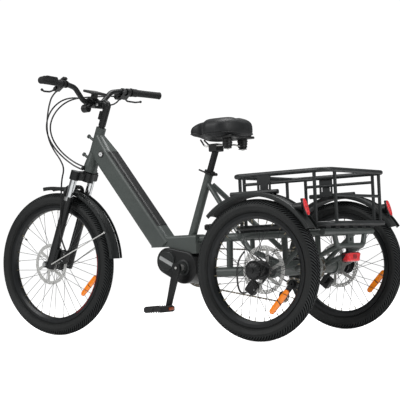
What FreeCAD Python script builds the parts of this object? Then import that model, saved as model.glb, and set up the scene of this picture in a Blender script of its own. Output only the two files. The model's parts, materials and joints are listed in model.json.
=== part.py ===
"""Adult tricycle: one sprung front wheel, two rear wheels on a driven axle, a motor at
the cranks, a battery in the down tube and a tube basket over the rear axle.

Millimetres. X runs from the front wheel to the rear axle, Y to the rider's right, Z up.
The origin is on the ground, midway between the front and the back of the tyres.
"""
import FreeCAD, Part
import math
import os

V = FreeCAD.Vector

# overall layout
WHEELBASE = 1256.0
TRACK = 654.0
FRONT_TYRE_RADIUS = 314.0
REAR_TYRE_RADIUS = 260.0
HEAD_LEAN_DEG = 22.5
FORK_OFFSET = 41.0

# wheels
FRONT_RIM_RADIUS = 259.5
REAR_RIM_RADIUS = 209.0
RIM_HALF_WIDTH = 17.0
RIM_DEPTH = 22.0
RIM_WALL = 3.0
TYRE_WALL = 3.5
FRONT_TYRE_HALF_WIDTH = 30.0
REAR_TYRE_HALF_WIDTH = 28.0
BEAD_CLEARANCE = 0.4
SPOKE_COUNT = 36
SPOKE_RADIUS = 1.0
SPOKE_TWIST_DEG = 52.0
SPOKE_END_GAP = 0.5
SPOKE_CROSSING = 1.1
SPOKE_RIM_Y = 4.0
ROTOR_RADIUS = 90.0
ROTOR_TRACK_WIDTH = 15.0
ROTOR_THICKNESS = 1.8
ROTOR_ARMS = 6
RUNNING_CLEARANCE = 0.05
FRONT_AXLE_RADIUS = 5.0
FRONT_HUB_HALF_LENGTH = 40.5
FRONT_FLANGE_Y = 25.0
FRONT_FLANGE_RADIUS = 29.0
FRONT_ROTOR_Y = 38.0
REAR_SHAFT_RADIUS = 10.0
REAR_FLANGE_Y = 24.0
REAR_FLANGE_RADIUS = 36.0
REAR_ROTOR_INSET = 45.0
HUB_CAP_REACH = 41.0

# fork and head
LEG_FORWARD = 24.0
LEG_SPACING = 60.0
LEG_RADIUS = 19.0
STANCHION_RADIUS = 15.0
LEG_TOP = 318.0
CROWN_BOTTOM = 398.0
CROWN_HEIGHT = 38.0
FORK_TRAVEL = 50.0
HEAD_BOTTOM = 445.6
HEAD_LENGTH = 197.0
HEAD_TOP_RADIUS = 22.0
HEAD_BOTTOM_RADIUS = 30.0
STEERER_RADIUS = 14.3
RACK_BOSS_HEIGHTS = (50.0, 132.0)
RACK_BOSS_REACH = 43.0
RACK_THREAD_RADIUS = 3.0
RACK_THREAD_DEPTH = 12.0

# front fender
FENDER_GAP = 27.0
FENDER_WALL = 2.5
FRONT_FENDER_HALF_WIDTH = 35.0
FRONT_FENDER_START_DEG = 2.0
FRONT_FENDER_END_DEG = 96.0

# handlebar
BAR_HALF_WIDTH = 395.0
BAR_RADIUS = 11.1
BAR_CLAMP_RADIUS = 15.9
BAR_HEIGHT = 1005.0
BAR_FORWARD = 90.0
BAR_RISE = 64.0
BAR_SWEEP = 54.0
GRIP_RADIUS = 16.5
GRIP_GAP = 2.0
LEVER_DROOP_DEG = 35.0
LEVER_PIVOT_ALONG = 52.0
LEVER_PIVOT_AHEAD = 31.0
LEVER_PIN_RADIUS = 3.0
PERCH_START = 36.0
PERCH_END = 54.0
TWIST_START = 60.0
TWIST_END = 92.0
PAD_START = 10.0
PAD_END = 21.0
PAD_LENGTH = 31.0
POD_LENGTH = 30.0
BUTTON_RADIUS = 3.4
BUTTON_TRAVEL = 1.0
BUTTON_GAP = 0.3
BUTTON_SPACING = 10.0
SHIFT_PIN_RADIUS = 4.0
HEADLIGHT_RADIUS = 18.0
HEADLIGHT_LENGTH = 28.0

# frame tubes
DOWN_TUBE_SLOPE_DEG = 53.0
DOWN_TUBE_DEPTH = 90.0
DOWN_TUBE_HALF_WIDTH = 40.0
DOWN_TUBE_EDGE = 20.0
DOWN_TUBE_TAPER_START = -66.0
DOWN_TUBE_TAPER_END = 32.0
DOWN_TUBE_TOP_Z = 789.0
DOWN_TUBE_BOTTOM_Z = 388.0
DOWN_TUBE_BEHIND_AXIS = 48.0
BATTERY_DEPTH = 44.0
BATTERY_LENGTH = 410.0
BATTERY_START = 40.0
BATTERY_HALF_WIDTH = 35.0
BATTERY_GAP = 1.0
SEAT_TUBE_LEAN_DEG = 21.5
SEAT_TUBE_RADIUS = 17.0
SEAT_TUBE_TOP_Z = 664.0
SEAT_TUBE_AHEAD_OF_AXLE = 413.0
COLLAR_HEIGHT = 14.0
COLLAR_BOLT_BEHIND = 27.0
COLLAR_LEVER_Y = 19.0
COLLAR_PIN_RADIUS = 1.6
SEAT_POST_RADIUS = 13.6
SEAT_POST_INSERT = 150.0
SEAT_STAY_RADIUS = 10.5
UPPER_SPINE_Z = 390.0
UPPER_SPINE_RADIUS = 17.0
LOWER_SPINE_Z = 252.0
LOWER_SPINE_RADIUS = 20.0
BRACKET_TOP_Z = 409.0
BRACKET_BOTTOM_Z = 332.0
BRACKET_HALF_WIDTH = 34.0
BRACKET_FRONT_AHEAD = 702.0
BRACKET_REAR_AHEAD = 476.0
DOWN_TUBE_END_Z = 364.0

# motor and drive
CRANK_AHEAD_OF_AXLE = 535.0
CRANK_Z = 277.0
CRANK_LENGTH = 170.0
CRANK_LEAN_DEG = 17.4
CRANK_HALF_SPREAD = 98.0
MOTOR_FRONT_RADIUS = 55.0
MOTOR_FRONT_AHEAD = 78.0
MOTOR_FRONT_RISE = 29.0
MOTOR_REAR_RADIUS = 66.0
MOTOR_HALF_WIDTH = 48.0
MOTOR_COVER_RADIUS = 40.0
MOTOR_GAP = 0.5
SPINDLE_RADIUS = 12.0
CHAINRING_TEETH = 38
CASSETTE_TEETH = 30
CHAIN_PITCH = 12.7
CHAIN_Y = 62.0
CHAIN_HALF_WIDTH = 3.2
CHAIN_HALF_HEIGHT = 3.6
CHAIN_SEAT_GAP = 0.3
PULLEY_RADIUS = 20.0
UPPER_PULLEY_AHEAD = 86.0
UPPER_PULLEY_DROP = 66.0
LOWER_PULLEY_AHEAD = 132.0
LOWER_PULLEY_DROP = 112.0
PEDAL_LENGTH = 98.0
PEDAL_WIDTH = 84.0

# saddle
SADDLE_NOSE_AHEAD = 502.0
SADDLE_LENGTH = 268.0
SADDLE_HALF_WIDTH = 122.0
SADDLE_TOP_Z = 868.0
SADDLE_BASE_Z = 796.0
SADDLE_RAIL_Z = 762.0

# rear cage and basket
AXLE_HOUSING_RADIUS = 29.0
AXLE_HOUSING_HALF_LENGTH = 222.0
BEARING_BLOCK_WIDTH = 26.0
POST_Y = 125.0
POST_RADIUS = 11.0
DECK_Z = 389.0
DECK_TUBE_RADIUS = 12.0
DECK_FRONT_AHEAD = 151.0
DECK_REAR_BEHIND = 212.0
DECK_HALF_WIDTH = 212.0
DECK_SLATS = 6
DECK_SLAT_WIDTH = 34.0
BASKET_FRONT_AHEAD = 158.0
BASKET_REAR_BEHIND = 254.0
BASKET_HALF_WIDTH = 229.0
BASKET_FLOOR_Z = 418.0
BASKET_RIM_Z = 614.0
BASKET_TUBE_RADIUS = 9.0
BASKET_CORNER = 46.0
BASKET_POST_RADIUS = 6.5
BASKET_RAIL_RADIUS = 5.8
BASKET_MID_Z = 521.0
BASKET_SLATS = 7
REAR_FENDER_GAP = 23.0
REAR_FENDER_HALF_WIDTH = 36.0
REAR_FENDER_START_DEG = 31.0
REAR_FENDER_END_DEG = 133.0
FENDER_RAIL_RADIUS = 9.0
FENDER_RAIL_Z = 543.0
FENDER_RAIL_INSET = 33.0
FENDER_RAIL_LENGTH = 205.0
REFLECTOR_BEHIND = 213.0
REFLECTOR_RISE = 218.0
REFLECTOR_LEAN_DEG = 16.0
REFLECTOR_HALF_HEIGHT = 33.0
BUMPER_DROP = 54.0
BUMPER_TUBE_RADIUS = 10.0

# cables
CABLE_RADIUS = 2.5

# derived places
REAR_X = (WHEELBASE + FRONT_TYRE_RADIUS - REAR_TYRE_RADIUS) / 2
FRONT_X = REAR_X - WHEELBASE
REAR_Z = REAR_TYRE_RADIUS
WHEEL_Y = TRACK / 2
LEAN = math.radians(HEAD_LEAN_DEG)
FRONT_AXLE = V(FRONT_X, 0, FRONT_TYRE_RADIUS)
REAR_AXLE = V(REAR_X, 0, REAR_Z)
STEER_UP = V(math.sin(LEAN), 0, math.cos(LEAN))
STEER_BACK = V(math.cos(LEAN), 0, -math.sin(LEAN))
STEER_FOOT = FRONT_AXLE + STEER_BACK * FORK_OFFSET
CRANK = V(REAR_X - CRANK_AHEAD_OF_AXLE, 0, CRANK_Z)
CHAINRING_RADIUS = CHAIN_PITCH * CHAINRING_TEETH / (2 * math.pi)
CASSETTE_RADIUS = CHAIN_PITCH * CASSETTE_TEETH / (2 * math.pi)
SEAT_LEAN = math.radians(SEAT_TUBE_LEAN_DEG)
SEAT_UP = V(math.sin(SEAT_LEAN), 0, math.cos(SEAT_LEAN))
SEAT_BACK = V(math.cos(SEAT_LEAN), 0, -math.sin(SEAT_LEAN))
SEAT_TOP = V(REAR_X - SEAT_TUBE_AHEAD_OF_AXLE, 0, SEAT_TUBE_TOP_Z)
BASKET_FRONT_X = REAR_X - BASKET_FRONT_AHEAD
BASKET_REAR_X = REAR_X + BASKET_REAR_BEHIND
BRACKET_FRONT_X = REAR_X - BRACKET_FRONT_AHEAD
BRACKET_REAR_X = REAR_X - BRACKET_REAR_AHEAD
MOTOR_FRONT = CRANK + V(-MOTOR_FRONT_AHEAD, 0, MOTOR_FRONT_RISE)
DECK_FRONT_X = REAR_X - DECK_FRONT_AHEAD
DECK_REAR_X = REAR_X + DECK_REAR_BEHIND
LEVER_PIVOT = V(LEVER_PIVOT_ALONG, LEVER_PIVOT_AHEAD, 0)
SHIFT_PIVOT = V(7.0, 26.0, -17.0)
Y_AXIS = V(0, 1, 0)


# ---------------------------------------------------------------- shape helpers

def box(x0, x1, y0, y1, z0, z1):
    """Block between the stated faces."""
    return Part.makeBox(x1 - x0, y1 - y0, z1 - z0, V(x0, y0, z0))


def rod(start, end, radius):
    """Round bar between two points."""
    way = end - start
    return Part.makeCylinder(radius, way.Length, start, way)


def disc_y(centre, radius, y0, y1):
    """Round slab about an axle along Y, between two Y values."""
    return Part.makeCylinder(radius, y1 - y0, V(centre.x, y0, centre.z), Y_AXIS)


def turned_y(centre, profile, start_deg=0.0, sweep_deg=360.0):
    """Solid of revolution about an axle along Y: profile is a list of (radius, y) corners."""
    corners = [V(centre.x + radius, centre.y + y, centre.z) for radius, y in profile]
    face = Part.Face(Part.makePolygon(corners + corners[:1]))
    if start_deg:
        face.rotate(V(centre.x, 0, centre.z), Y_AXIS, -start_deg)
    return face.revolve(V(centre.x, 0, centre.z), -Y_AXIS, sweep_deg)


def joined(*shapes):
    """One solid from shapes that touch or overlap."""
    return shapes[0].fuse(list(shapes[1:])).removeSplitter()


def mirrored(shape):
    """The same shape on the other side of the middle plane."""
    return shape.mirror(V(0, 0, 0), Y_AXIS)


def both_sides(shape):
    """A left and a right copy, as two separate solids."""
    return [shape, mirrored(shape)]


def bent_path(points, bend):
    """Straight runs through the points, joined by arcs of at most the stated radius."""
    edges = []
    radii = []
    start = points[0]
    for i in range(1, len(points) - 1):
        before = points[i] - points[i - 1]
        after = points[i + 1] - points[i]
        half_turn = before.getAngle(after) / 2
        room = 0.45 * min(before.Length, after.Length) / math.tan(half_turn)
        radius = min(bend, room)
        radii.append(radius)
        before.normalize()
        after.normalize()
        cut = radius * math.tan(half_turn)
        enter = points[i] - before * cut
        leave = points[i] + after * cut
        inward = after - before
        inward.normalize()
        centre = points[i] + inward * (radius / math.cos(half_turn))
        middle = centre - inward * radius
        edges.append(Part.LineSegment(start, enter).toShape())
        edges.append(Part.Arc(enter, middle, leave).toShape())
        start = leave
    edges.append(Part.LineSegment(start, points[-1]).toShape())
    return Part.Wire(edges), radii


def bent_tube(points, radius, bend):
    """Round tube, solid inside, along a bent path."""
    path, radii = bent_path(points, bend)
    ring = Part.Wire(Part.makeCircle(radius, points[0], points[1] - points[0]))
    return path.makePipeShell([ring], True, True)


def cable(label, points, radius):
    """A held cable whose bends are as wide as its runs allow; prints its bend radii and its length."""
    path, radii = bent_path(points, math.inf)
    ring = Part.Wire(Part.makeCircle(radius, points[0], points[1] - points[0]))
    tube = path.makePipeShell([ring], True, True)
    rounded = ", ".join("%.0f" % r for r in radii)
    print("%s: bends %s mm, length %.0f mm" % (label, rounded, path.Length))
    print("  volume over section times length: %.4f" % (tube.Volume / (math.pi * radius ** 2 * path.Length)))
    return tube


def round_loop(x0, x1, half_width, z, radius, corner):
    """Closed rectangular loop of round tube with rounded corners, lying level."""
    corners = [(x1, half_width, 1, 1), (x0, half_width, -1, 1)]
    corners += [(x0, -half_width, -1, -1), (x1, -half_width, 1, -1)]
    edges = []
    arcs = []
    for x, y, sx, sy in corners:
        centre = V(x - sx * corner, y - sy * corner, z)
        side = V(x, y - sy * corner, z)
        end = V(x - sx * corner, y, z)
        middle = centre + V(sx, sy, 0) * (corner / math.sqrt(2))
        first, last = (side, end) if sx == sy else (end, side)
        arcs.append((first, middle, last))
    for i, (first, middle, last) in enumerate(arcs):
        edges.append(Part.Arc(first, middle, last).toShape())
        edges.append(Part.LineSegment(last, arcs[(i + 1) % 4][0]).toShape())
    path = Part.Wire(edges)
    start = arcs[0][0]
    ring = Part.Wire(Part.makeCircle(radius, start, V(0, 1, 0)))
    return path.makePipeShell([ring], True, True)


def rounded_block(x0, x1, y0, y1, z0, z1, edge):
    """Block with every edge rounded."""
    block = box(x0, x1, y0, y1, z0, z1)
    return block.makeFillet(edge, block.Edges)


def on_steering(shape):
    """Moves a shape built along a level steering axis onto the leaning one."""
    turn = FreeCAD.Rotation(Y_AXIS, HEAD_LEAN_DEG)
    moved = shape.copy()
    moved.Placement = FreeCAD.Placement(STEER_FOOT, turn).multiply(moved.Placement)
    return moved


def steering_point(back, y, up):
    """Point measured back from, beside and up along the steering axis."""
    return STEER_FOOT + STEER_BACK * back + V(0, y, 0) + STEER_UP * up


def save(name, *shapes):
    """Writes the solids of one sub-part to its own file."""
    solids = []
    for shape in shapes:
        solids.extend(shape.Solids)
    whole = solids[0] if len(solids) == 1 else Part.makeCompound(solids)
    whole.exportStep("parts/%s.step" % name)


# ---------------------------------------------------------------- wheels

def tyre(centre, radius, rim_radius, half_width):
    """Hollow tyre: round outside, its beads between the rim's walls."""
    bead_y = RIM_HALF_WIDTH - RIM_WALL - BEAD_CLEARANCE
    bead_in = rim_radius - 9.0
    wide_at = radius - half_width

    def at(r, y):
        return V(centre.x + r, centre.y + y, centre.z)

    inner_bead = bead_y - TYRE_WALL
    inner_wide = half_width - TYRE_WALL
    neck = rim_radius + 1.0
    edges = [
        Part.LineSegment(at(bead_in, -bead_y), at(neck, -bead_y)).toShape(),
        Part.Arc(at(neck, -bead_y), at(wide_at, -half_width), at(radius - 9.0, -half_width * 0.72)).toShape(),
        Part.Arc(at(radius - 9.0, -half_width * 0.72), at(radius, 0),
                 at(radius - 9.0, half_width * 0.72)).toShape(),
        Part.Arc(at(radius - 9.0, half_width * 0.72), at(wide_at, half_width), at(neck, bead_y)).toShape(),
        Part.LineSegment(at(neck, bead_y), at(bead_in, bead_y)).toShape(),
        Part.LineSegment(at(bead_in, bead_y), at(bead_in, inner_bead)).toShape(),
        Part.LineSegment(at(bead_in, inner_bead), at(neck, inner_bead)).toShape(),
        Part.Arc(at(neck, inner_bead), at(wide_at, inner_wide),
                 at(radius - 14.0, inner_wide * 0.7)).toShape(),
        Part.Arc(at(radius - 14.0, inner_wide * 0.7), at(radius - 5.5, 0),
                 at(radius - 14.0, -inner_wide * 0.7)).toShape(),
        Part.Arc(at(radius - 14.0, -inner_wide * 0.7), at(wide_at, -inner_wide),
                 at(neck, -inner_bead)).toShape(),
        Part.LineSegment(at(neck, -inner_bead), at(bead_in, -inner_bead)).toShape(),
        Part.LineSegment(at(bead_in, -inner_bead), at(bead_in, -bead_y)).toShape(),
    ]
    face = Part.Face(Part.Wire(edges))
    return face.revolve(V(centre.x, 0, centre.z), Y_AXIS, 360)


def rim(centre, rim_radius):
    """Deep rim with two tyre walls and a narrower inner edge."""
    wall_in = RIM_HALF_WIDTH - RIM_WALL
    well = rim_radius - 10.0
    inner = rim_radius - RIM_DEPTH
    half = [
        (rim_radius, RIM_HALF_WIDTH),
        (well - 2.0, RIM_HALF_WIDTH),
        (inner, 10.0),
    ]
    floor = [(well, wall_in), (rim_radius, wall_in)]
    profile = [(r, -y) for r, y in reversed(floor)] + [(r, y) for r, y in floor]
    profile += half
    profile += [(r, -y) for r, y in reversed(half)]
    return turned_y(centre, profile)


def spokes(centre, rim_radius, flange_y, flange_radius):
    """Crossed spokes from the two hub flanges to the rim's inner edge."""
    twist = math.radians(SPOKE_TWIST_DEG)
    rim_reach = rim_radius - RIM_DEPTH - SPOKE_END_GAP
    hub_reach = flange_radius + SPOKE_RADIUS + SPOKE_END_GAP
    wires = []
    for i in range(SPOKE_COUNT):
        side = 1 if i % 2 else -1
        lean = 1 if (i // 2) % 2 else -1
        rim_angle = 2 * math.pi * (i + 0.5) / SPOKE_COUNT
        hub_angle = rim_angle + lean * twist
        apart = lean * SPOKE_CROSSING
        start = centre + V(hub_reach * math.cos(hub_angle), side * (flange_y + apart),
                           hub_reach * math.sin(hub_angle))
        end = centre + V(rim_reach * math.cos(rim_angle), side * (SPOKE_RIM_Y + apart),
                         rim_reach * math.sin(rim_angle))
        wires.append(rod(start, end, SPOKE_RADIUS))
    return wires


def rotor(centre, y):
    """Brake disc: a ring on arms about a small carrier."""
    y0 = y - ROTOR_THICKNESS / 2
    y1 = y + ROTOR_THICKNESS / 2
    ring = disc_y(centre, ROTOR_RADIUS, y0, y1).cut(disc_y(centre, ROTOR_RADIUS - ROTOR_TRACK_WIDTH, y0, y1))
    carrier = disc_y(centre, 27.0, y0, y1)
    arms = []
    for i in range(ROTOR_ARMS):
        arm = box(centre.x + 15.0, centre.x + ROTOR_RADIUS - 8.0, y0, y1, centre.z - 4.0, centre.z + 4.0)
        arm.rotate(centre, Y_AXIS, 360.0 * i / ROTOR_ARMS + 12.0)
        arms.append(arm)
    return joined(ring, carrier, *arms)


def front_hub():
    """Front hub shell running on the fork's axle, and its brake disc."""
    bore = FRONT_AXLE_RADIUS + RUNNING_CLEARANCE
    flange_out = FRONT_FLANGE_Y + 2.0
    flange_in = FRONT_FLANGE_Y - 2.0
    disc_in = FRONT_ROTOR_Y - ROTOR_THICKNESS / 2
    shell = turned_y(FRONT_AXLE, [
        (bore, -FRONT_HUB_HALF_LENGTH), (11.0, -FRONT_HUB_HALF_LENGTH), (11.0, -disc_in),
        (22.0, -disc_in), (22.0, -flange_out), (FRONT_FLANGE_RADIUS, -flange_out),
        (FRONT_FLANGE_RADIUS, -flange_in), (17.0, -flange_in), (15.0, 0),
        (17.0, flange_in), (FRONT_FLANGE_RADIUS, flange_in), (FRONT_FLANGE_RADIUS, flange_out),
        (14.0, flange_out), (11.0, FRONT_HUB_HALF_LENGTH), (bore, FRONT_HUB_HALF_LENGTH)])
    bore_hole = disc_y(FRONT_AXLE, 11.0, -FRONT_HUB_HALF_LENGTH, -disc_in)
    disc = rotor(FRONT_AXLE, -FRONT_ROTOR_Y).cut(bore_hole)
    return shell, disc


def rear_hub(side):
    """Rear hub with its cap, brake disc carrier and the half shaft that drives it."""
    centre = V(REAR_X, side * WHEEL_Y, REAR_Z)
    flange_out = REAR_FLANGE_Y + 2.0
    flange_in = REAR_FLANGE_Y - 2.0
    disc_y0 = REAR_ROTOR_INSET - ROTOR_THICKNESS / 2
    shaft_in = WHEEL_Y - 40.0
    shell = turned_y(centre, [(r, side * y) for r, y in [
        (0, HUB_CAP_REACH), (13.0, HUB_CAP_REACH), (17.0, HUB_CAP_REACH - 5.0), (30.0, flange_out + 5.0),
        (REAR_FLANGE_RADIUS, flange_out), (REAR_FLANGE_RADIUS, flange_in), (26.0, flange_in - 3.0),
        (26.0, -flange_in + 3.0), (REAR_FLANGE_RADIUS, -flange_in), (REAR_FLANGE_RADIUS, -flange_out),
        (24.0, -flange_out), (24.0, -disc_y0), (REAR_SHAFT_RADIUS, -disc_y0),
        (REAR_SHAFT_RADIUS, -shaft_in), (0, -shaft_in)]])
    y_disc = side * (WHEEL_Y - REAR_ROTOR_INSET)
    disc = rotor(V(REAR_X, 0, REAR_Z), y_disc)
    shaft_hole = disc_y(centre, REAR_SHAFT_RADIUS, y_disc - 5.0, y_disc + 5.0)
    return shell, disc.cut(shaft_hole)


# ---------------------------------------------------------------- fork

def fork_lowers():
    """Both lower legs with the arch, the axle bosses and the caliper lug; the axle and its nuts."""
    axle = V(-FORK_OFFSET, 0, 0)
    bore = STANCHION_RADIUS + RUNNING_CLEARANCE
    leg_inner = LEG_SPACING - LEG_RADIUS
    leg_outer = LEG_SPACING + LEG_RADIUS
    legs = []
    for side in (-1, 1):
        x, y = -LEG_FORWARD, side * LEG_SPACING
        leg = Part.makeCylinder(LEG_RADIUS, LEG_TOP + 12.0, V(x, y, -12.0))
        seal = Part.makeCylinder(LEG_RADIUS + 2.5, 16.0, V(x, y, LEG_TOP - 16.0))
        boss = disc_y(axle, 14.0, min(side * leg_inner, side * leg_outer),
                      max(side * leg_inner, side * leg_outer))
        legs.append(leg.fuse([seal, boss]))
    front = -LEG_FORWARD - 33.0
    arch = bent_tube([
        V(front + 9.0, -LEG_SPACING, 286.0), V(front, -LEG_SPACING + 5.0, 354.0),
        V(front, LEG_SPACING - 5.0, 354.0), V(front + 9.0, LEG_SPACING, 286.0)], 9.0, 26.0)
    lug = box(-LEG_FORWARD + 10.0, 6.0, -LEG_SPACING - 8.0, -LEG_SPACING + 14.0, 34.0, 84.0)
    whole = joined(*legs, arch, lug)
    for side in (-1, 1):
        whole = whole.cut(Part.makeCylinder(bore, LEG_TOP, V(-LEG_FORWARD, side * LEG_SPACING, 60.0)))
    whole = whole.cut(disc_y(axle, FRONT_AXLE_RADIUS, -leg_outer, leg_outer))
    pin = disc_y(axle, FRONT_AXLE_RADIUS, -leg_outer, leg_outer)
    nuts = [disc_y(axle, 9.0, leg_outer, leg_outer + 8.0), disc_y(axle, 9.0, -leg_outer - 8.0, -leg_outer)]
    return [on_steering(s) for s in (whole, joined(pin, *nuts))]


def front_caliper():
    """Brake caliper behind the left leg, straddling the front disc."""
    body = rounded_block(6.0, 42.0, -FRONT_ROTOR_Y - 20.0, -FRONT_ROTOR_Y + 11.0, 30.0, 86.0, 5.0)
    slot = disc_y(V(-FORK_OFFSET, 0, 0), ROTOR_RADIUS + 3.0, -FRONT_ROTOR_Y - 2.4, -FRONT_ROTOR_Y + 2.4)
    return on_steering(body.cut(slot))


def fork_crown():
    """Crown that clamps both stanchions, with the steerer standing on it."""
    top = CROWN_BOTTOM + CROWN_HEIGHT
    parts = [box(-LEG_FORWARD - 19.0, 6.0, -LEG_SPACING, LEG_SPACING, CROWN_BOTTOM + 4.0, top - 4.0)]
    for side in (-1, 1):
        parts.append(Part.makeCylinder(21.0, CROWN_HEIGHT, V(-LEG_FORWARD, side * LEG_SPACING, CROWN_BOTTOM)))
    parts.append(Part.makeCylinder(27.0, CROWN_HEIGHT + 3.0, V(0, 0, CROWN_BOTTOM)))
    parts.append(Part.makeCylinder(STEERER_RADIUS, 690.0 - CROWN_BOTTOM, V(0, 0, CROWN_BOTTOM)))
    whole = joined(*parts)
    for side in (-1, 1):
        hole = Part.makeCylinder(STANCHION_RADIUS, CROWN_HEIGHT,
                                 V(-LEG_FORWARD, side * LEG_SPACING, CROWN_BOTTOM))
        whole = whole.cut(hole)
    return on_steering(whole)


def stanchions():
    """The two bright upper tubes, held in the crown and sliding in the legs."""
    tubes = []
    for side in (-1, 1):
        foot = V(-LEG_FORWARD, side * LEG_SPACING, 60.0 + FORK_TRAVEL + 15.0)
        top = CROWN_BOTTOM + CROWN_HEIGHT
        tubes.append(on_steering(Part.makeCylinder(STANCHION_RADIUS, top - foot.z, foot)))
    return tubes


def lockout_knob():
    """Round knob on top of the crown's right leg."""
    top = CROWN_BOTTOM + CROWN_HEIGHT
    knob = Part.makeCylinder(12.0, 9.0, V(-LEG_FORWARD, LEG_SPACING, top + 0.4))
    tab = box(-LEG_FORWARD - 3.0, -LEG_FORWARD + 3.0, LEG_SPACING, LEG_SPACING + 19.0, top + 2.0, top + 9.4)
    return on_steering(joined(knob, tab))


def arc_shell(centre, y_mid, outer, half_width, drop, start_deg, end_deg):
    """Fender shell: a shallow curve across, swept round an axle."""
    def at(r, y):
        return V(centre.x + r, y_mid + y, centre.z)

    inner = outer - FENDER_WALL
    rim_y = half_width - FENDER_WALL
    upper = Part.Arc(at(outer - drop, -half_width), at(outer, 0), at(outer - drop, half_width)).toShape()
    lower = Part.Arc(at(inner - drop, rim_y), at(inner, 0), at(inner - drop, -rim_y)).toShape()
    right = Part.LineSegment(at(outer - drop, half_width), at(inner - drop, rim_y)).toShape()
    left = Part.LineSegment(at(inner - drop, -rim_y), at(outer - drop, -half_width)).toShape()
    face = Part.Face(Part.Wire([upper, right, lower, left]))
    face.rotate(V(centre.x, 0, centre.z), Y_AXIS, -start_deg)
    return face.revolve(V(centre.x, 0, centre.z), -Y_AXIS, end_deg - start_deg)


def front_fender():
    """Front fender shell, two wire stays from the legs and its bracket under the arch."""
    outer = FRONT_TYRE_RADIUS + FENDER_GAP
    shell = arc_shell(FRONT_AXLE, 0, outer, FRONT_FENDER_HALF_WIDTH, 13.0,
                      FRONT_FENDER_START_DEG, FRONT_FENDER_END_DEG)
    angle = math.radians(22.0)
    reach = outer - 9.0
    foot = steering_point(-LEG_FORWARD + 13.0, -LEG_SPACING - 13.0, 12.0)
    hook = V(FRONT_X + reach * math.cos(angle), -FRONT_FENDER_HALF_WIDTH - 3.4,
             FRONT_AXLE.z + reach * math.sin(angle))
    wire = rod(foot, hook, 2.5)
    tab = Part.makeSphere(5.0, hook)
    stay = joined(wire, tab).cut(shell)
    stay = stay.cut(on_steering(Part.makeCylinder(LEG_RADIUS, 60.0, V(-LEG_FORWARD, -LEG_SPACING, -12.0))))
    bracket = on_steering(box(-LEG_FORWARD - 39.0, -LEG_FORWARD - 29.0, -8.0, 8.0, 320.0, 352.0))
    arch_way = on_steering(rod(V(-LEG_FORWARD - 33.0, -40.0, 354.0), V(-LEG_FORWARD - 33.0, 40.0, 354.0),
                               9.0))
    bracket = bracket.cut(arch_way).cut(turned_y(FRONT_AXLE, [
        (0, -60.0), (outer, -60.0), (outer, 60.0), (0, 60.0)]))
    return [shell] + both_sides(stay) + [bracket]


# ---------------------------------------------------------------- cockpit

def bar_points():
    """The five places the right half of the handlebar passes through, from the middle out."""
    x = STEER_FOOT.x + math.tan(LEAN) * (BAR_HEIGHT - STEER_FOOT.z) - BAR_FORWARD
    tip = V(x + BAR_SWEEP + 10.0, BAR_HALF_WIDTH, BAR_HEIGHT + BAR_RISE - 8.0)
    return [
        V(x, 0, BAR_HEIGHT),
        V(x, 58.0, BAR_HEIGHT),
        V(x + 6.0, 122.0, BAR_HEIGHT + BAR_RISE - 8.0),
        V(x + 12.0, 178.0, BAR_HEIGHT + BAR_RISE),
        tip,
    ]


def flipped(point):
    """The same point on the left side."""
    return V(point.x, -point.y, point.z)


def handlebar():
    """Swept handlebar: thick at the stem clamp, rising and running back to the grips."""
    right = bar_points()
    left = [flipped(p) for p in reversed(right[1:])]
    tube = bent_tube(left + right[1:], BAR_RADIUS, 55.0)
    middle = rod(V(right[0].x, -44.0, right[0].z), V(right[0].x, 44.0, right[0].z), BAR_CLAMP_RADIUS)
    return joined(tube, middle)


def at_grip(shape, side):
    """Moves a shape onto the straight end of the bar.

    The shape is built with X out along the bar, Y ahead and down, Z up, from the last bend."""
    points = bar_points()
    out = points[4] - points[3]
    out.normalize()
    droop = math.radians(LEVER_DROOP_DEG)
    ahead = V(-math.cos(droop), 0, -math.sin(droop))
    ahead = ahead - out * ahead.dot(out)
    ahead.normalize()
    up = out.cross(ahead)
    start = points[3]
    frame = FreeCAD.Matrix(out.x, ahead.x, up.x, start.x, out.y, ahead.y, up.y, start.y,
                           out.z, ahead.z, up.z, start.z, 0, 0, 0, 1)
    moved = shape.copy()
    moved.Placement = FreeCAD.Placement(frame).multiply(moved.Placement)
    return moved if side > 0 else mirrored(moved)


def along_bar(a0, a1, radius, hole):
    """Collar round the bar between two distances from its last bend."""
    outside = Part.makeCylinder(radius, a1 - a0, V(a0, 0, 0), V(1, 0, 0))
    return outside.cut(Part.makeCylinder(hole, a1 - a0, V(a0, 0, 0), V(1, 0, 0)))


def bar_end():
    """Length of the straight end of the bar."""
    points = bar_points()
    return (points[4] - points[3]).Length


def lever_perch(side):
    """Brake lever clamp with a slotted nose and the lever's pivot pin."""
    ring = along_bar(PERCH_START, PERCH_END, 17.0, BAR_RADIUS)
    nose = box(PERCH_START - 14.0, PERCH_END + 6.0, 13.0, 40.0, -8.5, 8.5)
    nose = nose.cut(Part.makeCylinder(BAR_RADIUS, 90.0, V(0, 0, 0), V(1, 0, 0)))
    barrel = Part.makeCylinder(4.5, 12.0, V(PERCH_START - 9.0, 38.0, 0), Y_AXIS)
    body = joined(ring, nose, barrel)
    slot = box(PERCH_START - 2.0, PERCH_END + 30.0, 20.0, 50.0, -4.5, 4.5)
    pin = Part.makeCylinder(LEVER_PIN_RADIUS, 17.0, LEVER_PIVOT - V(0, 0, 8.5))
    return at_grip(body.cut(slot).fuse(pin), side)


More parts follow.
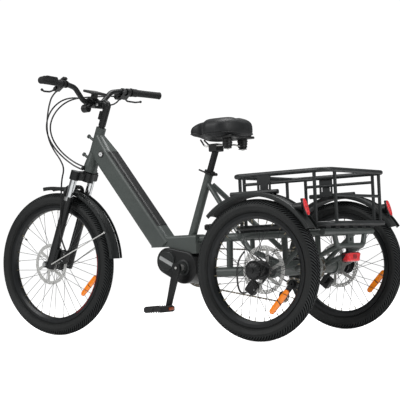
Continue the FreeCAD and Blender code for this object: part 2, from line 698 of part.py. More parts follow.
def brake_lever(side):
    """Two-finger brake lever, curved out along the grip."""
    root = rounded_block(LEVER_PIVOT.x - 8.0, LEVER_PIVOT.x + 12.0, 25.0, 46.0, -4.0, 4.0, 2.0)
    blade = bent_tube([
        LEVER_PIVOT + V(4.0, 9.0, 0), LEVER_PIVOT + V(22.0, 24.0, 0),
        LEVER_PIVOT + V(72.0, 26.0, 0), LEVER_PIVOT + V(97.0, 19.0, 0)], 4.0, 24.0)
    tip = Part.makeSphere(6.0, LEVER_PIVOT + V(98.0, 19.0, 0))
    hole = Part.makeCylinder(LEVER_PIN_RADIUS + RUNNING_CLEARANCE, 20.0, LEVER_PIVOT - V(0, 0, 10.0))
    return at_grip(joined(root, blade, tip).cut(hole), side)


def control_pad():
    """Switch housing beside the left grip."""
    ring = along_bar(PAD_START, PAD_END, 16.0, BAR_RADIUS)
    case = rounded_block(PAD_START - 6.0, PAD_START - 6.0 + PAD_LENGTH, -20.0, 10.0, 12.5, 25.0, 3.0)
    case = case.cut(Part.makeCylinder(BAR_RADIUS, 90.0, V(-20.0, 0, 0), V(1, 0, 0)))
    wells = [Part.makeCylinder(BUTTON_RADIUS + BUTTON_GAP, 10.0, V(x, y, 21.5)) for x, y in button_spots()]
    return at_grip(joined(ring, case).cut(Part.makeCompound(wells)), -1)


def button_spots():
    """Places of the three buttons, along and ahead of the left bar end."""
    return [(PAD_START - 0.5 + BUTTON_SPACING * i, -5.0) for i in range(3)]


def pad_buttons():
    """Three round push buttons standing out of the switch housing."""
    buttons = []
    for x, y in button_spots():
        button = Part.makeCylinder(BUTTON_RADIUS, 4.0, V(x, y, 21.5 + BUTTON_GAP + BUTTON_TRAVEL))
        buttons.append(at_grip(button, -1))
    return buttons


def shifter_pod():
    """Shifter housing under the right bar, with the thumb lever's pivot pin."""
    ring = along_bar(PAD_START, PAD_END, 16.0, BAR_RADIUS)
    case = rounded_block(PAD_END - 1.0 - POD_LENGTH, PAD_END - 1.0, 8.0, 42.0, -14.0, 9.0, 4.0)
    case = case.cut(Part.makeCylinder(BAR_RADIUS, 90.0, V(-20.0, 0, 0), V(1, 0, 0)))
    pin = Part.makeCylinder(SHIFT_PIN_RADIUS, 14.0, SHIFT_PIVOT + V(0, 0, -7.0))
    return at_grip(joined(ring, case, pin), 1)


def shift_lever():
    """Thumb lever below the shifter housing."""
    hub = Part.makeCylinder(9.0, 5.0, SHIFT_PIVOT + V(0, 0, -5.0))
    low = SHIFT_PIVOT.z - 5.0
    arm = box(SHIFT_PIVOT.x - 4.0, SHIFT_PIVOT.x + 4.0, -14.0, SHIFT_PIVOT.y, low, SHIFT_PIVOT.z)
    paddle = Part.makeCylinder(9.0, 5.0, V(SHIFT_PIVOT.x, -16.0, low))
    hole = Part.makeCylinder(SHIFT_PIN_RADIUS + RUNNING_CLEARANCE, 20.0, SHIFT_PIVOT + V(0, 0, -10.0))
    return at_grip(joined(hub, arm, paddle).cut(hole), 1)


def throttle_grip():
    """Twist collar between the right brake clamp and the right grip."""
    collar = along_bar(TWIST_START, TWIST_END, GRIP_RADIUS + 1.5, BAR_RADIUS + RUNNING_CLEARANCE)
    flange = along_bar(TWIST_START, TWIST_START + 5.0, GRIP_RADIUS + 3.0, BAR_RADIUS + RUNNING_CLEARANCE)
    return at_grip(joined(collar, flange), 1)


def bar_grips():
    """Soft grips: a long one with a palm wing on the left, a round one on the right."""
    right = along_bar(TWIST_END + GRIP_GAP, bar_end(), GRIP_RADIUS, BAR_RADIUS)
    cap = Part.makeCylinder(GRIP_RADIUS + 1.0, 5.0, V(bar_end(), 0, 0), V(1, 0, 0))
    left = along_bar(TWIST_START, bar_end(), GRIP_RADIUS, BAR_RADIUS)
    wing = rounded_block(TWIST_END + 8.0, bar_end(), -38.0, -6.0, -6.0, 8.0, 5.0)
    wing = wing.cut(Part.makeCylinder(BAR_RADIUS, 300.0, V(0, 0, 0), V(1, 0, 0)))
    return [at_grip(joined(right, cap), 1), at_grip(joined(left, wing, cap), -1)]


def stem():
    """Swan-neck stem on the steerer: column, forward reach, angle joint and bar clamp."""
    bar = bar_points()[0]
    joint = bar + V(45.0, 0, -14.0)
    neck = bent_tube([steering_point(0, 0, 652.0), steering_point(0, 0, 757.0), joint], 16.0, 30.0)
    knuckle = disc_y(joint, 17.0, -22.0, 22.0)
    bolt = disc_y(joint, 12.0, -25.0, 25.0)
    reach = rod(joint, bar + V(12.0, 0, 0), 14.0)
    clamp = disc_y(bar, BAR_CLAMP_RADIUS + 7.0, -22.0, 22.0)
    cover = on_steering(rounded_block(-27.0, -10.0, -10.0, 10.0, 674.0, 712.0, 3.0))
    whole = joined(neck, knuckle, bolt, reach, clamp, cover)
    whole = whole.cut(disc_y(bar, BAR_CLAMP_RADIUS, -30.0, 30.0))
    return whole.cut(on_steering(Part.makeCylinder(STEERER_RADIUS, 60.0, V(0, 0, 630.0))))


def display():
    """Flat screen over the bar clamp, tilted to the rider, on a short foot."""
    bar = bar_points()[0]
    screen = rounded_block(-34.0, 34.0, -44.0, 44.0, -5.0, 6.0, 4.0)
    foot = box(-8.0, 8.0, -14.0, 14.0, -30.0, -2.0)
    whole = joined(screen, foot)
    whole.Placement = FreeCAD.Placement(bar + V(16.0, 0, 42.0), FreeCAD.Rotation(Y_AXIS, 18.0))
    return whole.cut(disc_y(bar, BAR_CLAMP_RADIUS + 7.0, -22.0, 22.0))


def headlight():
    """Round lamp hanging ahead of the bar clamp on a strap."""
    bar = bar_points()[0]
    centre = bar + V(-38.0, 0, -20.0)
    half = HEADLIGHT_LENGTH / 2
    lamp = Part.makeCylinder(HEADLIGHT_RADIUS, HEADLIGHT_LENGTH, centre + V(-half, 0, 0), V(1, 0, 0))
    lens = Part.makeCylinder(HEADLIGHT_RADIUS - 3.0, 4.0, centre + V(-half - 4.0, 0, 0), V(1, 0, 0))
    strap = rod(centre + V(4.0, 0, 8.0), bar, 7.0)
    whole = joined(lamp, lens, strap)
    return whole.cut(disc_y(bar, BAR_CLAMP_RADIUS + 7.0, -22.0, 22.0))


# ---------------------------------------------------------------- frame

def head_envelope():
    """Outside of the head tube, without its bore."""
    top = HEAD_BOTTOM + HEAD_LENGTH
    base = Part.makeCylinder(HEAD_BOTTOM_RADIUS, 26.0, V(0, 0, HEAD_BOTTOM))
    taper = Part.makeCone(HEAD_BOTTOM_RADIUS, HEAD_TOP_RADIUS, 60.0, V(0, 0, HEAD_BOTTOM + 26.0))
    upper = Part.makeCylinder(HEAD_TOP_RADIUS, top - HEAD_BOTTOM - 86.0, V(0, 0, HEAD_BOTTOM + 86.0))
    return on_steering(joined(base, taper, upper))


def rack_boss_way():
    """Direction in which a rack boss points, measured back and up along the steering axis."""
    way = V(-1, 0, 0.25)
    way.normalize()
    return way


def rack_boss_mouth(up):
    """Centre of the front face of the rack boss at a height above the head tube's foot."""
    return V(-16.0, 0, HEAD_BOTTOM + up) + rack_boss_way() * RACK_BOSS_REACH


def head_tube():
    """Head tube with two front rack bosses and the two bearing rings round the steerer."""
    top = HEAD_BOTTOM + HEAD_LENGTH
    holes = []
    parts = [head_envelope()]
    for up in RACK_BOSS_HEIGHTS:
        height = HEAD_BOTTOM + up
        way = rack_boss_way()
        boss = Part.makeCylinder(6.0, RACK_BOSS_REACH, V(-16.0, 0, height), way)
        head = Part.makeCylinder(9.0, 7.0, rack_boss_mouth(up) - rack_boss_way() * 7.0, way)
        parts.append(on_steering(boss.fuse(head)))
        holes.append(on_steering(Part.makeCylinder(
            RACK_THREAD_RADIUS, RACK_THREAD_DEPTH, rack_boss_mouth(up), -rack_boss_way())))
    bore = on_steering(Part.makeCylinder(19.0, HEAD_LENGTH, V(0, 0, HEAD_BOTTOM)))
    tube = joined(*parts).cut(Part.makeCompound(holes)).cut(bore)
    rings = []
    for height in (HEAD_BOTTOM, top - 12.0):
        ring = Part.makeCylinder(19.0, 12.0, V(0, 0, height))
        hole = Part.makeCylinder(STEERER_RADIUS + RUNNING_CLEARANCE, 12.0, V(0, 0, height))
        rings.append(on_steering(ring.cut(hole)))
    return [tube] + rings


def down_tube_frame():
    """Placement whose X runs down the down tube and whose Z stands out of its top face."""
    axis_x = STEER_FOOT.x + math.tan(LEAN) * (DOWN_TUBE_TOP_Z - STEER_FOOT.z)
    start = V(axis_x + DOWN_TUBE_BEHIND_AXIS, 0, DOWN_TUBE_TOP_Z)
    return FreeCAD.Placement(start, FreeCAD.Rotation(Y_AXIS, DOWN_TUBE_SLOPE_DEG))


def on_down_tube(shape):
    """Moves a shape built along X onto the sloping down tube."""
    moved = shape.copy()
    moved.Placement = down_tube_frame().multiply(moved.Placement)
    return moved


def rounded_section(x, half_width, half_depth, edge):
    """Outline across the down tube: a rectangle with rounded corners."""
    side = half_width - edge
    top = half_depth - edge
    bow = edge / math.sqrt(2)
    edges = []
    spots = [(1, 1), (-1, 1), (-1, -1), (1, -1)]
    arcs = []
    for sy, sz in spots:
        centre = V(x, sy * side, sz * top)
        flank = centre + V(0, sy * edge, 0)
        crest = centre + V(0, 0, sz * edge)
        middle = centre + V(0, sy * bow, sz * bow)
        arcs.append((flank, middle, crest) if sy == sz else (crest, middle, flank))
    for i, (first, middle, last) in enumerate(arcs):
        edges.append(Part.Arc(first, middle, last).toShape())
        edges.append(Part.LineSegment(last, arcs[(i + 1) % 4][0]).toShape())
    return Part.Wire(edges)


def down_tube_length():
    """Length from the tube's start to the top of the motor bracket."""
    return (DOWN_TUBE_TOP_Z - DOWN_TUBE_BOTTOM_Z) / math.sin(math.radians(DOWN_TUBE_SLOPE_DEG))


def motor_bracket():
    """Box over the motor that joins the down tube, the seat tube and the upper spine tube."""
    run = BRACKET_REAR_X - BRACKET_FRONT_X
    upper = box(BRACKET_FRONT_X, BRACKET_REAR_X, -BRACKET_HALF_WIDTH, BRACKET_HALF_WIDTH,
                DOWN_TUBE_END_Z, BRACKET_TOP_Z)
    upper = upper.makeFillet(12.0,
                           [e for e in upper.Edges if abs(e.Length - run) < 1.0 and e.CenterOfMass.z > 380.0])
    cheeks = box(MOTOR_FRONT.x, BRACKET_REAR_X, -BRACKET_HALF_WIDTH, BRACKET_HALF_WIDTH,
                 BRACKET_BOTTOM_Z, DOWN_TUBE_END_Z)
    return joined(upper, cheeks)


def down_tube():
    """Deep down tube with an open pocket for the battery, and the bracket over the motor."""
    half = DOWN_TUBE_DEPTH / 2
    length = down_tube_length()
    beam = box(DOWN_TUBE_TAPER_END, length + 30.0, -DOWN_TUBE_HALF_WIDTH, DOWN_TUBE_HALF_WIDTH, -half, half)
    run = length + 30.0 - DOWN_TUBE_TAPER_END
    beam = beam.makeFillet(DOWN_TUBE_EDGE, [e for e in beam.Edges if abs(e.Length - run) < 1.0])
    taper = Part.makeLoft([
        rounded_section(DOWN_TUBE_TAPER_START, HEAD_TOP_RADIUS, half, DOWN_TUBE_EDGE),
        rounded_section(DOWN_TUBE_TAPER_END, DOWN_TUBE_HALF_WIDTH, half, DOWN_TUBE_EDGE)], True, True)
    beam = joined(beam, taper)
    pocket = box(BATTERY_START - BATTERY_GAP, BATTERY_START + BATTERY_LENGTH + BATTERY_GAP,
                 -BATTERY_HALF_WIDTH - BATTERY_GAP, BATTERY_HALF_WIDTH + BATTERY_GAP,
                 half - BATTERY_DEPTH - BATTERY_GAP, half + 20.0)
    beam = on_down_tube(beam.cut(pocket))
    below = box(-400.0, 400.0, -200.0, 200.0, 0, DOWN_TUBE_END_Z)
    whole = joined(beam.cut(below), motor_bracket())
    whole = whole.cut(on_down_tube(pocket)).cut(head_envelope()).cut(motor_envelope(MOTOR_GAP))
    ahead = on_steering(box(-200.0, 0, -100.0, 100.0, 0, 900.0))
    return max(whole.cut(ahead).Solids, key=lambda s: s.Volume)


def battery():
    """Battery block that fills the pocket and forms the tube's top face."""
    half = DOWN_TUBE_DEPTH / 2
    block = box(BATTERY_START, BATTERY_START + BATTERY_LENGTH, -BATTERY_HALF_WIDTH, BATTERY_HALF_WIDTH,
                half - BATTERY_DEPTH, half + 2.0)
    edges = [e for e in block.Edges if e.CenterOfMass.z > half and abs(e.Length - BATTERY_LENGTH) < 1.0]
    return on_down_tube(block.makeFillet(16.0, edges))


def battery_lock():
    """Key barrel on the left of the down tube, beside the battery's upper end."""
    return on_down_tube(Part.makeCylinder(9.0, 4.0, V(24.0, -DOWN_TUBE_HALF_WIDTH - 0.4, 6.0), V(0, -1, 0)))


def seat_tube_shape(radius):
    """Seat tube's round form from the bracket to the collar."""
    foot = SEAT_TOP - SEAT_UP * ((SEAT_TUBE_TOP_Z - BRACKET_TOP_Z + 10.0) / SEAT_UP.z)
    return rod(foot, SEAT_TOP, radius)


def seat_tube():
    """Seat tube standing on the bracket, bored for the post."""
    depth = (SEAT_TUBE_TOP_Z - BRACKET_TOP_Z) / SEAT_UP.z - 24.0
    tube = seat_tube_shape(SEAT_TUBE_RADIUS)
    hole = rod(SEAT_TOP - SEAT_UP * depth, SEAT_TOP, SEAT_POST_RADIUS + RUNNING_CLEARANCE)
    return tube.cut(hole).cut(down_tube())


def seat_collar():
    """Clamp ring round the top of the seat tube, its ears behind, the cross bolt and the lever's pin."""
    low = SEAT_TOP - SEAT_UP * COLLAR_HEIGHT
    ring = rod(low, SEAT_TOP, SEAT_TUBE_RADIUS + 5.0)
    pivot = collar_pivot()
    ears = disc_y(pivot, 6.5, -11.0,
                  11.0).fuse(rod(V(pivot.x, 0, pivot.z), V(pivot.x, 0, pivot.z) - SEAT_BACK * 8.0, 6.0))
    bolt = disc_y(pivot, 2.4, pivot.y, 14.0)
    eye = rod(pivot - SEAT_UP * 2.6, pivot + SEAT_UP * 2.6, 4.0)
    pin = rod(pivot - SEAT_UP * 7.5, pivot + SEAT_UP * 7.5, COLLAR_PIN_RADIUS)
    return joined(ring, ears, bolt, eye, pin).cut(seat_tube_shape(SEAT_TUBE_RADIUS))


def collar_pivot():
    """Centre of the pin at the left end of the collar's cross bolt."""
    middle = SEAT_TOP - SEAT_UP * (COLLAR_HEIGHT / 2) + SEAT_BACK * COLLAR_BOLT_BEHIND
    return V(middle.x, -COLLAR_LEVER_Y, middle.z)


def collar_lever():
    """Quick-release handle: a slotted cam on the bolt's pin and a grip that wraps forward."""
    pivot = collar_pivot()
    hub = rod(pivot - SEAT_UP * 7.0, pivot + SEAT_UP * 7.0, 7.0)
    gap = rod(pivot - SEAT_UP * 3.0, pivot + SEAT_UP * 3.0, 8.0)
    web = Part.makeBox(20.0, 40.0, 40.0, V(-24.5, -20.0, -20.0))
    web.Placement = FreeCAD.Placement(pivot, FreeCAD.Rotation(Y_AXIS, SEAT_TUBE_LEAN_DEG))
    handle = bent_tube([
        pivot - SEAT_BACK * 5.5, pivot + V(0, -9.0, 0) - SEAT_BACK * 20.0,
        pivot + V(0, -13.0, 0) - SEAT_BACK * 42.0, pivot + V(0, -8.0, 0) - SEAT_BACK * 62.0], 3.5, 20.0)
    hole = rod(pivot - SEAT_UP * 20.0, pivot + SEAT_UP * 20.0, COLLAR_PIN_RADIUS + RUNNING_CLEARANCE)
    return joined(hub.cut(gap.cut(web)),
                  handle.cut(rod(pivot - SEAT_UP * 4.0, pivot + SEAT_UP * 4.0, 4.5))).cut(hole)


def seat_stays():
    """Two stays from the seat tube down and out, then back under the deck to the axle housing."""
    stay = bent_tube([
        V(SEAT_TOP.x, -13.0, SEAT_TOP.z - 56.0), V(REAR_X - 166.0, -118.0, 338.0),
        V(REAR_X - 10.0, -122.0, REAR_Z + 14.0)], SEAT_STAY_RADIUS, 60.0)
    riser = rod(V(DECK_FRONT_X, -116.0, 334.0), V(DECK_FRONT_X, -116.0, DECK_Z), SEAT_STAY_RADIUS - 1.0)
    stay = joined(stay, riser).cut(seat_tube_shape(SEAT_TUBE_RADIUS)).cut(box(-500, 900, 0, 400, 0, 900))
    stay = stay.cut(deck_front_tube()).cut(axle_housing())
    return both_sides(max(stay.Solids, key=lambda s: s.Volume))


def spine_tubes():
    """Upper and lower tubes from the motor bracket back to the axle, and the strut between them."""
    upper_start = V(BRACKET_REAR_X, 0, UPPER_SPINE_Z)
    upper = rod(upper_start, V(DECK_FRONT_X, 0, UPPER_SPINE_Z), UPPER_SPINE_RADIUS).cut(deck_front_tube())
    lower = rod(V(BRACKET_REAR_X - 6.0, 0, LOWER_SPINE_Z), V(REAR_X, 0, LOWER_SPINE_Z), LOWER_SPINE_RADIUS)
    lower = lower.cut(disc_y(REAR_AXLE, AXLE_HOUSING_RADIUS, -60.0, 60.0)).cut(motor_envelope(MOTOR_GAP))
    strut = rod(V(REAR_X - 338.0, 0, LOWER_SPINE_Z), V(REAR_X - 332.0, 0, UPPER_SPINE_Z), 13.0)
    return [joined(max(upper.Solids, key=lambda s: s.Volume), max(lower.Solids, key=lambda s: s.Volume),
                   strut)]


# ---------------------------------------------------------------- motor and drive

def motor_envelope(extra):
    """Outside of the motor case, grown by the stated amount: two round lobes and their tangents."""
    front_r = MOTOR_FRONT_RADIUS + extra
    rear_r = MOTOR_REAR_RADIUS + extra
    half = MOTOR_HALF_WIDTH + extra
    upper_a, upper_b = tangent_run(MOTOR_FRONT, front_r, CRANK, rear_r, 1)
    lower_a, lower_b = tangent_run(MOTOR_FRONT, front_r, CRANK, rear_r, -1)
    corners = [V(p.x, -half, p.z) for p in (upper_a, upper_b, lower_b, lower_a)]
    web = Part.Face(Part.makePolygon(corners + corners[:1])).extrude(V(0, 2 * half, 0))
    return joined(disc_y(MOTOR_FRONT, front_r, -half, half), disc_y(CRANK, rear_r, -half, half), web)


def motor():
    """Motor case bored for the crank spindle, its round left cover with a raised strip, and case screws."""
    case = motor_envelope(0)
    edges = [e for e in case.Edges if abs(abs(e.CenterOfMass.y) - MOTOR_HALF_WIDTH) < 0.1]
    case = case.makeFillet(6.0, edges)
    collar = disc_y(CRANK, 22.0, -MOTOR_HALF_WIDTH - 6.0, -MOTOR_HALF_WIDTH + 8.0)
    case = joined(case, collar).cut(disc_y(CRANK, SPINDLE_RADIUS + RUNNING_CLEARANCE, -60.0, 60.0))
    cover_out = -MOTOR_HALF_WIDTH - 8.0
    cover = disc_y(MOTOR_FRONT, MOTOR_COVER_RADIUS, cover_out, -MOTOR_HALF_WIDTH)
    cover = cover.makeFillet(4.0, [e for e in cover.Edges if e.CenterOfMass.y < cover_out + 1.0])
    strip = Part.makeBox(100.0, 1.5, 15.0, V(-50.0, cover_out - 1.5, -7.5))
    strip.Placement = FreeCAD.Placement(MOTOR_FRONT, FreeCAD.Rotation(Y_AXIS, 28.0))
    strip = strip.common(disc_y(MOTOR_FRONT, MOTOR_COVER_RADIUS - 4.5, -80.0, 0))
    screws = []
    for spot in motor_screw_spots():
        screws.append(disc_y(spot, 3.5, -MOTOR_HALF_WIDTH - 1.5, -MOTOR_HALF_WIDTH))
    return [case, cover, strip] + screws


def motor_screw_spots():
    """Places of the case screws round the left face, a little inside the outline."""
    spots = []
    for centre, radius, angles in ((MOTOR_FRONT, MOTOR_FRONT_RADIUS, (100.0, 160.0, 215.0)),
                                   (CRANK, MOTOR_REAR_RADIUS, (-100.0, -50.0, 0.0, 50.0))):
        for degrees in angles:
            turn = math.radians(degrees)
            spots.append(centre + V(math.cos(turn), 0, math.sin(turn)) * (radius - 10.0))
    return spots


def pedal_centre(side):
    """Centre of a pedal axle at the crank's end; the left one points down and ahead."""
    lean = math.radians(CRANK_LEAN_DEG)
    down = V(-math.sin(lean), 0, -math.cos(lean)) * CRANK_LENGTH
    return CRANK + down * (-side)


def crank_set():
    """Spindle and both arms as one piece, and the chainring with its guard."""
    spindle = disc_y(CRANK, SPINDLE_RADIUS, -CRANK_HALF_SPREAD + 6.0, CRANK_HALF_SPREAD - 6.0)
    parts = [spindle]
    for side in (-1, 1):
        eye = pedal_centre(side)
        y0 = side * (CRANK_HALF_SPREAD - 14.0)
        y1 = side * CRANK_HALF_SPREAD
        low, high = min(y0, y1), max(y0, y1)
        parts.append(disc_y(CRANK, 20.0, low, high))
        parts.append(disc_y(eye, 13.0, low, high))
        way = eye - CRANK
        arm = Part.makeBox(way.Length, high - low, 22.0, V(0, low, -11.0))
        turn = math.degrees(math.atan2(-way.z, way.x))
        arm.Placement = FreeCAD.Placement(CRANK, FreeCAD.Rotation(Y_AXIS, turn))
        parts.append(arm)
        pin_in = side * CRANK_HALF_SPREAD
        pin_out = side * (CRANK_HALF_SPREAD + PEDAL_LENGTH + 8.0)
        parts.append(disc_y(eye, 5.0, min(pin_in, pin_out), max(pin_in, pin_out)))
    arms = joined(*parts)
    ring_r = CHAINRING_RADIUS
    plate = disc_y(CRANK, ring_r - CHAIN_HALF_HEIGHT - CHAIN_SEAT_GAP, CHAIN_Y - 1.2, CHAIN_Y + 1.2)
    guard = disc_y(CRANK, ring_r + 8.0, CHAIN_Y + 6.0, CHAIN_Y + 9.0)
    guard = guard.cut(disc_y(CRANK, ring_r - 18.0, CHAIN_Y + 6.0, CHAIN_Y + 9.0))
    spider = disc_y(CRANK, 30.0, CHAIN_Y - 4.0, CHAIN_Y + 9.0)
    holes = []
    links = []
    for i in range(5):
        angle = 2 * math.pi * i / 5 + 0.3
        spot = CRANK + V(46.0 * math.cos(angle), 0, 46.0 * math.sin(angle))
        holes.append(disc_y(spot, 10.0, CHAIN_Y - 2.0, CHAIN_Y + 2.0))
        angle += math.pi / 5
        spot = CRANK + V(55.0 * math.cos(angle), 0, 55.0 * math.sin(angle))
        links.append(disc_y(spot, 5.0, CHAIN_Y + 1.0, CHAIN_Y + 7.0))
    plate = plate.cut(Part.makeCompound(holes))
    ring = joined(plate, guard, spider, *links).cut(disc_y(CRANK, SPINDLE_RADIUS, 0, 100.0))
    return [arms, ring]


def pedal(side):
    """Platform pedal turning on its axle, with a reflector let into each long side."""
    eye = pedal_centre(side)
    y_in = CRANK_HALF_SPREAD + 5.0
    y_out = y_in + PEDAL_LENGTH
    half = PEDAL_WIDTH / 2
    barrel = disc_y(eye, 10.0, y_in, y_out)
    front = box(eye.x - half, eye.x - half + 12.0, y_in, y_out, eye.z - 11.0, eye.z + 11.0)
    rear = box(eye.x + half - 12.0, eye.x + half, y_in, y_out, eye.z - 11.0, eye.z + 11.0)
    parts = [barrel, front, rear]
    for y in (y_in, (y_in + y_out) / 2 - 4.0, y_out - 8.0):
        parts.append(box(eye.x - half, eye.x + half, y, y + 8.0, eye.z - 9.0, eye.z + 9.0))
    bore = disc_y(eye, 5.0 + RUNNING_CLEARANCE, 0, 400.0)
    body = joined(*parts).cut(bore)
    reflectors = []
    for x0, x1 in ((eye.x - half - 3.0, eye.x - half), (eye.x + half, eye.x + half + 3.0)):
        reflectors.append(box(x0, x1, y_in + 22.0, y_out - 22.0, eye.z - 8.0, eye.z + 8.0))
    shapes = [body] + reflectors
    return shapes if side > 0 else [mirrored(s) for s in shapes]


def cassette():
    """Stack of sprockets on the axle housing, the chain on the largest."""
    centre = REAR_AXLE
    bore = AXLE_HOUSING_RADIUS + 0.4
    teeth = [CASSETTE_TEETH, 24, 20, 16]
    parts = []
    for i, count in enumerate(teeth):
        y = CHAIN_Y + 5.0 * i
        radius = CHAIN_PITCH * count / (2 * math.pi) - CHAIN_HALF_HEIGHT - CHAIN_SEAT_GAP
        parts.append(disc_y(centre, max(radius, bore + 3.0), y - 1.0, y + 1.0))
    parts.append(disc_y(centre, bore + 2.6, CHAIN_Y - 6.0, CHAIN_Y + 5.0 * len(teeth)))
    return joined(*parts).cut(disc_y(centre, bore, 0, 150.0))


def pulley_centres():
    """Upper and lower guide pulley of the derailleur."""
    upper = REAR_AXLE + V(-UPPER_PULLEY_AHEAD, 0, -UPPER_PULLEY_DROP)
    lower = REAR_AXLE + V(-LOWER_PULLEY_AHEAD, 0, -LOWER_PULLEY_DROP)
    return upper, lower


def derailleur_body():
    """Hanger from the axle housing and the derailleur's knuckle."""
    upper, lower = pulley_centres()
    y0 = CHAIN_Y + 16.0
    hang = V(REAR_AXLE.x - 34.0, y0 + 6.0, REAR_AXLE.z - 36.0)
    knuckle = rod(V(upper.x, y0, upper.z), V(upper.x, y0 + 22.0, upper.z), 13.0)
    link = rod(V(upper.x, y0 + 14.0, upper.z), V(hang.x, y0 + 30.0, hang.z), 9.0)
    hanger = rod(V(hang.x, y0 + 30.0, hang.z), V(REAR_AXLE.x, y0 + 30.0, REAR_AXLE.z - 20.0), 7.0)
    whole = joined(knuckle, link, hanger)
    pin = rod(V(upper.x, y0 - 10.0, upper.z), V(upper.x, y0, upper.z), 4.0)
    return joined(whole, pin).cut(disc_y(REAR_AXLE, AXLE_HOUSING_RADIUS, -200.0, 200.0))


def derailleur_cage():
    """Two side plates and two guide pulleys, swinging about the knuckle's pin."""
    upper, lower = pulley_centres()
    plates = []
    for y in (CHAIN_Y - 8.5, CHAIN_Y + 6.5):
        way = lower - upper
        strip = Part.makeBox(way.Length, 2.0, 18.0, V(0, y, -9.0))
        turn = math.degrees(math.atan2(-way.z, way.x))
        strip.Placement = FreeCAD.Placement(upper, FreeCAD.Rotation(Y_AXIS, turn))
        ends = [disc_y(upper, 11.0, y, y + 2.0), disc_y(lower, 11.0, y, y + 2.0)]
        plates.append(strip.fuse(ends))
    pulleys = [disc_y(upper, PULLEY_RADIUS, CHAIN_Y - 1.2, CHAIN_Y + 1.2),
               disc_y(lower, PULLEY_RADIUS, CHAIN_Y - 1.2, CHAIN_Y + 1.2)]
    pins = [disc_y(upper, 6.5, CHAIN_Y - 8.0, CHAIN_Y + 8.0),
            disc_y(lower, 4.0, CHAIN_Y - 8.0, CHAIN_Y + 8.0)]
    hole = disc_y(upper, 4.0 + RUNNING_CLEARANCE, 0, 200.0)
    return joined(*plates, *pulleys, *pins).cut(hole)


def tangent_run(a, ra, b, rb, side):
    """Ends of the straight run that touches two rings on the stated side of the line a to b."""
    way = b - a
    base = math.atan2(way.z, way.x)
    lean = math.asin((ra - rb) / way.Length)
    angle = base + side * (math.pi / 2 - lean)
    out = V(math.cos(angle), 0, math.sin(angle))
    return a + out * ra, b + out * rb


def chain():
    """Chain as one flat band: over the chainring and cassette, round both guide pulleys."""
    upper, lower = pulley_centres()
    half = CHAIN_HALF_HEIGHT

    def strip(p, q):
        way = q - p
        shape = Part.makeBox(way.Length, 2 * CHAIN_HALF_WIDTH, 2 * half,
                             V(0, CHAIN_Y - CHAIN_HALF_WIDTH, -half))
        turn = math.degrees(math.atan2(-way.z, way.x))
        shape.Placement = FreeCAD.Placement(p, FreeCAD.Rotation(Y_AXIS, turn))
        return shape

    def hoop(centre, radius, start, end):
        profile = [(radius - half, CHAIN_Y - CHAIN_HALF_WIDTH), (radius + half, CHAIN_Y - CHAIN_HALF_WIDTH),
                   (radius + half, CHAIN_Y + CHAIN_HALF_WIDTH), (radius - half, CHAIN_Y + CHAIN_HALF_WIDTH)]
        return turned_y(centre, profile, start, end - start)

    def bearing(centre, point):
        return math.degrees(math.atan2(point.z - centre.z, point.x - centre.x))

    ring_mid = CHAINRING_RADIUS
    cog_mid = CASSETTE_RADIUS
    guide_mid = PULLEY_RADIUS + CHAIN_SEAT_GAP + half
    top_a, top_b = tangent_run(CRANK, ring_mid, REAR_AXLE, cog_mid, 1)
    low_a, low_b = tangent_run(CRANK, ring_mid, lower, guide_mid, -1)
    cross_a, cross_b = crossed_run(lower, guide_mid, upper, guide_mid)
    back_a, back_b = crossed_run(upper, guide_mid, REAR_AXLE, cog_mid, flip=True)
    parts = [strip(top_a, top_b), strip(low_a, low_b), strip(cross_a, cross_b), strip(back_a, back_b)]
    parts.append(hoop(CRANK, ring_mid, bearing(CRANK, top_a), bearing(CRANK, low_a) + 360.0))
    parts.append(hoop(lower, guide_mid, bearing(lower, low_b), bearing(lower, cross_a) + 360.0 * (
        bearing(lower, cross_a) < bearing(lower, low_b))))
    start = bearing(upper, back_a)
    end = bearing(upper, cross_b)
    parts.append(hoop(upper, guide_mid, start, end + 360.0 * (end < start)))
    start = bearing(REAR_AXLE, back_b)
    end = bearing(REAR_AXLE, top_b)
    parts.append(hoop(REAR_AXLE, cog_mid, start, end + 360.0 * (end < start)))
    return joined(*parts)


def crossed_run(a, ra, b, rb, flip=False):
    """Ends of the straight run that passes between two rings, from one side to the other."""
    way = b - a
    base = math.atan2(way.z, way.x)
    lean = math.acos((ra + rb) / way.Length)
    angle = base + (lean if flip else -lean)
    out = V(math.cos(angle), 0, math.sin(angle))
    return a + out * ra, b - out * rb


# ---------------------------------------------------------------- seat

def seat_post():
    """Seat post with the rail clamp at its head."""
    foot = SEAT_TOP - SEAT_UP * SEAT_POST_INSERT
    head = SEAT_TOP + SEAT_UP * ((SADDLE_RAIL_Z - 14.0 - SEAT_TUBE_TOP_Z) / SEAT_UP.z)
    post = rod(foot, head, SEAT_POST_RADIUS)
    clamp = rounded_block(head.x - 20.0, head.x + 22.0, -26.0, 26.0, head.z - 9.0, SADDLE_RAIL_Z + 9.0, 4.0)
    whole = joined(post, clamp)
    for side in (-1, 1):
        whole = whole.cut(rod(V(head.x - 60.0, side * 22.0, SADDLE_RAIL_Z),
                              V(head.x + 60.0, side * 22.0, SADDLE_RAIL_Z), 3.5))
    return whole


def saddle_x(u):
    """X of a station at the fraction u from the nose to the back."""
    return REAR_X - SADDLE_NOSE_AHEAD + SADDLE_LENGTH * u


def saddle_half_width(u):
    """Half width of the saddle at a station: narrow nose, then a wide seat, rounded at the back."""
    blend = min(max((u - 0.18) / 0.42, 0.0), 1.0)
    spread = 21.0 + (SADDLE_HALF_WIDTH - 21.0) * blend * blend * (3 - 2 * blend)
    nose = math.sqrt(max(1 - (1 - min(u / 0.10, 1.0)) ** 2, 0.02))
    back = math.sqrt(max(1 - max((u - 0.72) / 0.30, 0.0) ** 2, 0.02))
    return spread * nose * back


